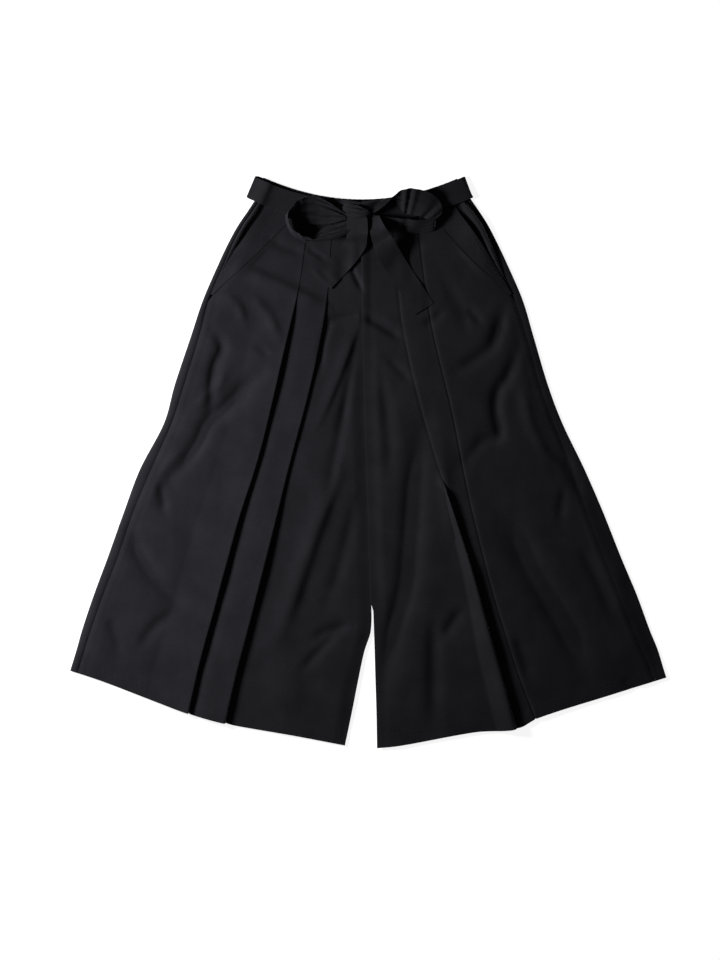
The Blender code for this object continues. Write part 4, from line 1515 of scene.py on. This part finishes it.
@dataclass
class Bow:
    """The sash's knot, its two standing loops and its two tails."""

    finish: Material
    ground: Ground
    loop_stations: int = 150
    loop_columns: int = 22
    loop_thick: float = 1.0
    loop_rest: float = 0.8
    loop_least: float = -0.4
    belly: float = 2.5
    gather_reach: float = 60.0
    gather_height: float = 4.8
    cross_height: float = 1.7
    cross_from: float = 34.0
    tail_stations: int = 110
    tail_columns: int = 18
    tail_start: float = 16.0
    tail_tilt: float = 4.0
    tail_clear: float = 18.0
    tail_unevenness: float = 0.7
    tail_eases: int = 6
    left_gather: float = 1.5
    left_cross: float = 0.6
    # The loops' folds: how many lie side by side, how high they are and how far down they start
    fan_folds: float = 3.3
    fan_height: float = 1.7
    fan_low: float = 1.1
    fine_folds: float = 5.3
    fine_height: float = 0.35
    # The knot, from its left end to its right one
    knot_x: tuple[float, float] = (-42.0, 1.5)
    knot_y: tuple[float, float] = (407.5, 401.0)
    knot_middle: tuple[float, float] = (6.5, 13.5)
    knot_half_wide: tuple[float, float] = (12.5, 7.5)
    knot_half_high: tuple[float, float] = (7.0, 9.5)
    knot_folds: tuple[float, float] = (0.3, 0.55)
    knot_least: float = 0.2

    def loop(self, side: Side, places: tuple[LoopPlace, ...]) -> Shell:
        """A loop that stands on its lower edge, gathered where it leaves the knot.

        Args:
            side: which loop.
            places: its stations.

        Returns:
            Its shell.
        """
        rows = curves_of(places, counted=True)
        last = len(places) - 1
        station, share = lattice((0, last, self.loop_stations), (0, 1, self.loop_columns + 1))
        rim, foot = (
            stacked(*(rows[name](station) for name in names))
            for names in (("x", "y", "high"), ("foot_x", "foot_y", "low"))
        )
        points = mix(foot, rim, share[..., None])
        normal = np.cross(np.gradient(points, axis=0), rim - foot)
        normal /= np.linalg.norm(normal, axis=-1, keepdims=True)
        along = np.cumsum(np.linalg.norm(np.gradient(rim, axis=0), axis=-1), axis=0)
        loose = np.sin(np.pi * station / last)
        from_knot = np.minimum(along, along[-1:] - along)
        height = self.gather_height * (1.0 if side is Side.RIGHT else self.left_gather)
        gather = height * bell(from_knot, self.gather_reach) * (0.35 + 0.65 * loose)
        gather = gather * (0.4 + 0.6 * np.sin(np.pi * share))
        fan = np.abs(np.sin(np.pi * (self.fan_folds * share + 0.15 * side.value + 0.006 * along)))
        fan = self.fan_height * fan - self.fan_low
        fan = fan + self.fine_height * np.sin(2 * np.pi * (self.fine_folds * share + 0.3))
        cross = np.sin(along * 0.27 + 1.4 * np.sin(along * 0.08) + 2.0 * share)
        cross = cross * smooth((from_knot - self.cross_from) / 25)
        cross = self.cross_height * cross * (1 if side is Side.RIGHT else self.left_cross)
        cross = cross * (0.6 + 0.4 * np.sin(along * 0.09 + side.value))
        belly = self.belly * loose * np.sin(np.pi * share)
        points = points + normal * (gather * fan + cross + belly)[..., None]
        points[..., 2] = BOW_REST + self.loop_rest + np.maximum(points[..., 2], self.loop_least)
        return Shell("sash_loop_" + side.word, points, self.finish, thick=self.loop_thick)

    def tail(self, side: Side, places: tuple[TailPlace, ...]) -> Shell:
        """A tail that falls from the knot and lies on the pleats.

        Args:
            side: which tail.
            places: its stations.

        Returns:
            Its shell.
        """
        rows = curves_of(places, counted=True)
        station, share = lattice((0, len(places) - 1, self.tail_stations), (-1, 1, self.tail_columns + 1))
        angle = np.radians(rows["turn"](station))
        half = rows["wide"](station) / 2
        x = rows["x"](station) + np.cos(angle) * half * share
        y = rows["y"](station) + np.sin(angle) * half * share
        tops = [self.ground.clear(a, b, self.tail_clear) for a, b in zip(x.ravel(), y.ravel())]
        lain = np.array(tops).reshape(x.shape) + LAYER * 0.7
        for _ in range(self.tail_eases):
            lain[1:-1] = (lain[:-2] + lain[2:] + 2 * lain[1:-1]) / 4
            lain[:, 1:-1] = (lain[:, :-2] + lain[:, 2:] + 2 * lain[:, 1:-1]) / 4
        sink = rows["sink"](station)
        fall = mix(BOW_REST + self.tail_start, lain, np.where(sink < 0, sink, smooth(sink)))
        soft = self.tail_unevenness * Unevenness(71 + side.value, 14, 19)(x, y)
        z = np.maximum(fall, lain) + soft + self.tail_tilt * share * (1 - smooth(1.6 * sink))
        return Shell("sash_tail_" + side.word, stacked(x, y, z), self.finish)

    def knot(self) -> Shell:
        """The knot's gathered cloth, its folds running together to the right.

        Returns:
            Its shell.
        """
        along, turn = lattice((0, 1, 60), (0, 2 * np.pi, 72, False))
        eased = smooth(along)
        full = np.sin(np.pi * np.clip(along, 0.02, 0.98)) ** 0.35
        ridge = np.abs(np.cos(3.5 * turn + 1.5 * along + 0.7)) ** 0.8 - 0.6
        folds = 1 + mix(*self.knot_folds, along) * ridge + 0.08 * np.cos(11 * turn - 3 * along)
        y = mix(*self.knot_y, eased) + mix(*self.knot_half_wide, eased) * full * folds * np.cos(turn)
        z = BOW_REST + mix(*self.knot_middle, along)
        z = z + mix(*self.knot_half_high, eased) * full * folds * np.sin(turn)
        z = np.maximum(z, BOW_REST + self.knot_least)
        return Shell("sash_knot_cloth", stacked(mix(*self.knot_x, along), y, z), self.finish, ring=True)

    def dress(self) -> None:
        lay(self.knot(), "knot")
        for side, places, length in ((Side.LEFT, LOOP_LEFT, 0.25), (Side.RIGHT, LOOP_RIGHT, 0.26)):
            loop = self.loop(side, places)
            lay(loop, "bow_loop_" + side.word)
        for side, places, length in ((Side.LEFT, TAIL_LEFT, 0.14), (Side.RIGHT, TAIL_RIGHT, 0.19)):
            tail = self.tail(side, places)
            lay(tail, "tail_" + side.word)


@dataclass
class Stitching:
    """Rows of straight machine stitches, drawn a little larger than real so that they show."""

    finish: Material
    spacing: float = 4.2
    length: float = 2.9
    straight: float = 0.6
    radius: float = 0.36
    tip: float = 0.3
    proud: float = 0.55
    sides: int = 6

    def one_stitch(self) -> Object:
        """Model one stitch along Z: a short cylinder whose ends taper down into the cloth.

        Returns:
            The stitch, with X away from the cloth.
        """
        depth = self.straight * self.length * MM
        bpy.ops.mesh.primitive_cylinder_add(
            vertices=self.sides, radius=self.radius * MM, depth=depth, location=(0, 0, 0)
        )
        stitch = bpy.context.object
        reach = (1 - self.straight) * self.length / 2 * MM
        for end in (-1, 1):
            for face in stitch.data.polygons:
                face.select = face.normal.z * end > 0.9
            bpy.ops.object.mode_set(mode="EDIT")
            bpy.ops.mesh.select_mode(type="FACE")
            step = (-self.radius * MM, 0, end * reach)
            bpy.ops.mesh.extrude_region_move(TRANSFORM_OT_translate={"value": step})
            bpy.ops.transform.resize(value=(self.tip, self.tip, 1))
            bpy.ops.object.mode_set(mode="OBJECT")
        stitch.data.shade_smooth()
        stitch.data.materials.append(self.finish)
        return stitch

    def places(self, line: Array) -> list[Matrix]:
        """Where each stitch of a line goes.

        Args:
            line: the points of the line on the cloth.

        Returns:
            A matrix for each stitch, in metres.
        """
        gaps = np.linalg.norm(np.diff(line, axis=0), axis=1)
        along = np.concatenate([[0], np.cumsum(gaps)])
        found = []
        for at in np.arange(self.spacing / 2, along[-1] - self.spacing / 2, self.spacing):
            before, here, after = (
                Vector([np.interp(at + step, along, column) for column in line.T]) for step in (-1, 0, 1)
            )
            run = (after - before).normalized()
            up = run.cross(Vector((0, 0, 1)).cross(run).normalized())
            turned = Matrix((up, run.cross(up), run)).transposed()
            found.append(Matrix.Translation((here + up * self.proud) * MM) @ turned.to_4x4())
        return found

    def sew(self, name: str, lines: Sequence[Array]) -> None:
        """Sew lines of stitches as one piece.

        Args:
            name: the piece's name.
            lines: each a line of points on the cloth.
        """
        stitch = self.one_stitch()
        copies = []
        for line in lines:
            for place in self.places(line):
                mesh = stitch.data.copy()
                mesh.transform(place)
                copies.append(place_object(name, mesh))
        select_only(copies[-1])
        for copy in copies:
            copy.select_set(True)
        bpy.data.objects.remove(stitch)
        bpy.ops.object.join()
        piece = bpy.context.object
        piece.name = name
        piece.select_set(False)
        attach(piece, "root")
        LOG.info("%s: %d stitches", name, len(copies))


def hem_line(cut: LegCut, shell: Shell, above: float) -> Array:
    """A line across a panel at one height above its hem.

    Args:
        cut: the leg.
        shell: the panel.
        above: how far above the hem the line lies.

    Returns:
        A point for each column.
    """
    line = []
    for column in range(1, shell.points.shape[1] - 1):
        run = shell.points[::-1, column]
        over = run[:, 1] - cut.hem(run[:, 0]) - above
        line.append([np.interp(0, over, run[:, axis]) for axis in range(3)])
    return np.array(line)


@dataclass
class Studio:
    """The pale floor, the soft lights and the camera above."""

    view_high: float = 1.5552
    centre_x: float = -0.0136
    centre_y: float = -0.0285
    distance: float = 6.0
    sensor: float = 36.0
    far: float = 100.0
    key_place: tuple[float, float, float] = (-1.15, 0.24, 0.67)
    key_aim: tuple[float, float, float] = (0.0, -0.08, 0.0)
    key_size: float = 0.40
    key_power: float = 15.2
    fill: float = 0.035
    fill_colour: tuple[float, ...] = (0.95, 0.97, 1.0, 1)
    floor_wide: float = 14.0
    floor_tone: float = 0.86
    floor_glow: float = 0.88

    def floor(self) -> None:
        """A wide floor of matt white card.

        To the eye it is a plain white with no sheen, lit a little from below like a light table,
        on which the cloth's shadow shows softly.
        """
        bpy.ops.mesh.primitive_plane_add(size=self.floor_wide, location=(0, 0, 0))
        floor = bpy.context.object
        floor.name = "pale_floor"
        material = start_material("matt white card", {
            "Base Color": (self.floor_tone, self.floor_tone, self.floor_tone, 1), "Roughness": 0.9,
            "Specular IOR Level": 0.0, "Emission Color": (1, 1, 1, 1), "Emission Strength": self.floor_glow,
        })[0]
        floor.data.materials.append(material)

    def lights(self) -> None:
        """A soft key from the upper left and an even fill from all round."""
        data = bpy.data.lights.new("key", "AREA")
        data.shape = "DISK"
        data.size = self.key_size
        data.energy = self.key_power
        key = place_object("key", data)
        key.location = self.key_place
        aim = Vector(self.key_aim) - Vector(self.key_place)
        key.rotation_euler = aim.to_track_quat("-Z", "Y").to_euler()
        world = bpy.data.worlds.new("studio")
        world.use_nodes = True
        background = world.node_tree.nodes["Background"]
        background.inputs["Color"].default_value = self.fill_colour
        background.inputs["Strength"].default_value = self.fill
        bpy.context.scene.world = world

    def camera(self) -> None:
        """A long lens straight above, framed as the photograph is."""
        data = bpy.data.cameras.new("camera")
        data.sensor_width = self.sensor
        data.lens = self.sensor * self.distance / self.view_high
        data.clip_end = self.far
        camera = place_object("camera", data)
        camera.location = (self.centre_x, self.centre_y, self.distance)
        bpy.context.scene.camera = camera
        bpy.context.scene.view_settings.view_transform = "Standard"

    def build(self) -> None:
        """Set the studio up."""
        self.floor()
        self.lights()
        self.camera()
        LOG.info("studio: floor, key, fill and camera")


def main() -> None:
    """Build the trousers from the surface up, then the studio."""
    logging.basicConfig(level=logging.INFO, format="%(name)s: %(message)s")
    # Each cloth's last colour is its painted highlight along fold edges and a seam's lip
    panel = WovenCotton("black cotton poplin", "201f25", "27262c", "34333a").material()
    band = WovenCotton("black cotton waistband", "1c1c20", "212126", "2c2b31").material()
    sash = WovenCotton("black cotton sash", "1f1f24", "25252b", "302f36").material()
    stitching = Stitching(SewingThread().material())

    left_cut = LegCut(Side.LEFT, LEFT_SECTIONS, LEFT_HEM)
    right_cut = LegCut(Side.RIGHT, RIGHT_SECTIONS, RIGHT_HEM, neighbour=left_cut)
    left_front = FrontLeg(left_cut, panel, stitched_flat=0.22)
    right_front = FrontLeg(
        right_cut, panel, rises=RIGHT_RISES, outer_stack=0.24, inner_stack=0.24, edge_highlight=0.0, groove=0.85
    )
    shells: list[Shell] = []
    for front, swell, sink in ((left_front, 2.2, 0.0), (right_front, 0.9, 0.35)):
        cut = front.cut
        BackLeg(cut, panel, strip_swell=swell).dress()
        front_shell = front.dress()
        pocket = Pocket(cut, panel, seam_sink=sink).dress()
        shells += [front_shell, *pocket]
        mouth = pocket[0].points
        stitching.sew("mouth_stitching_" + cut.side.word, [mouth[2:-4, 3], mouth[2:-5, 5]])
        stitching.sew("hem_stitching_" + cut.side.word, [hem_line(cut, front_shell, cut.hem_turn)])
    waist = Waist(band)
    shells += waist.dress()
    shells += Belt(sash, waist).dress()
    Bow(sash, Ground(shells)).dress()
    Studio().build()


if __name__ == "__main__":
    main()
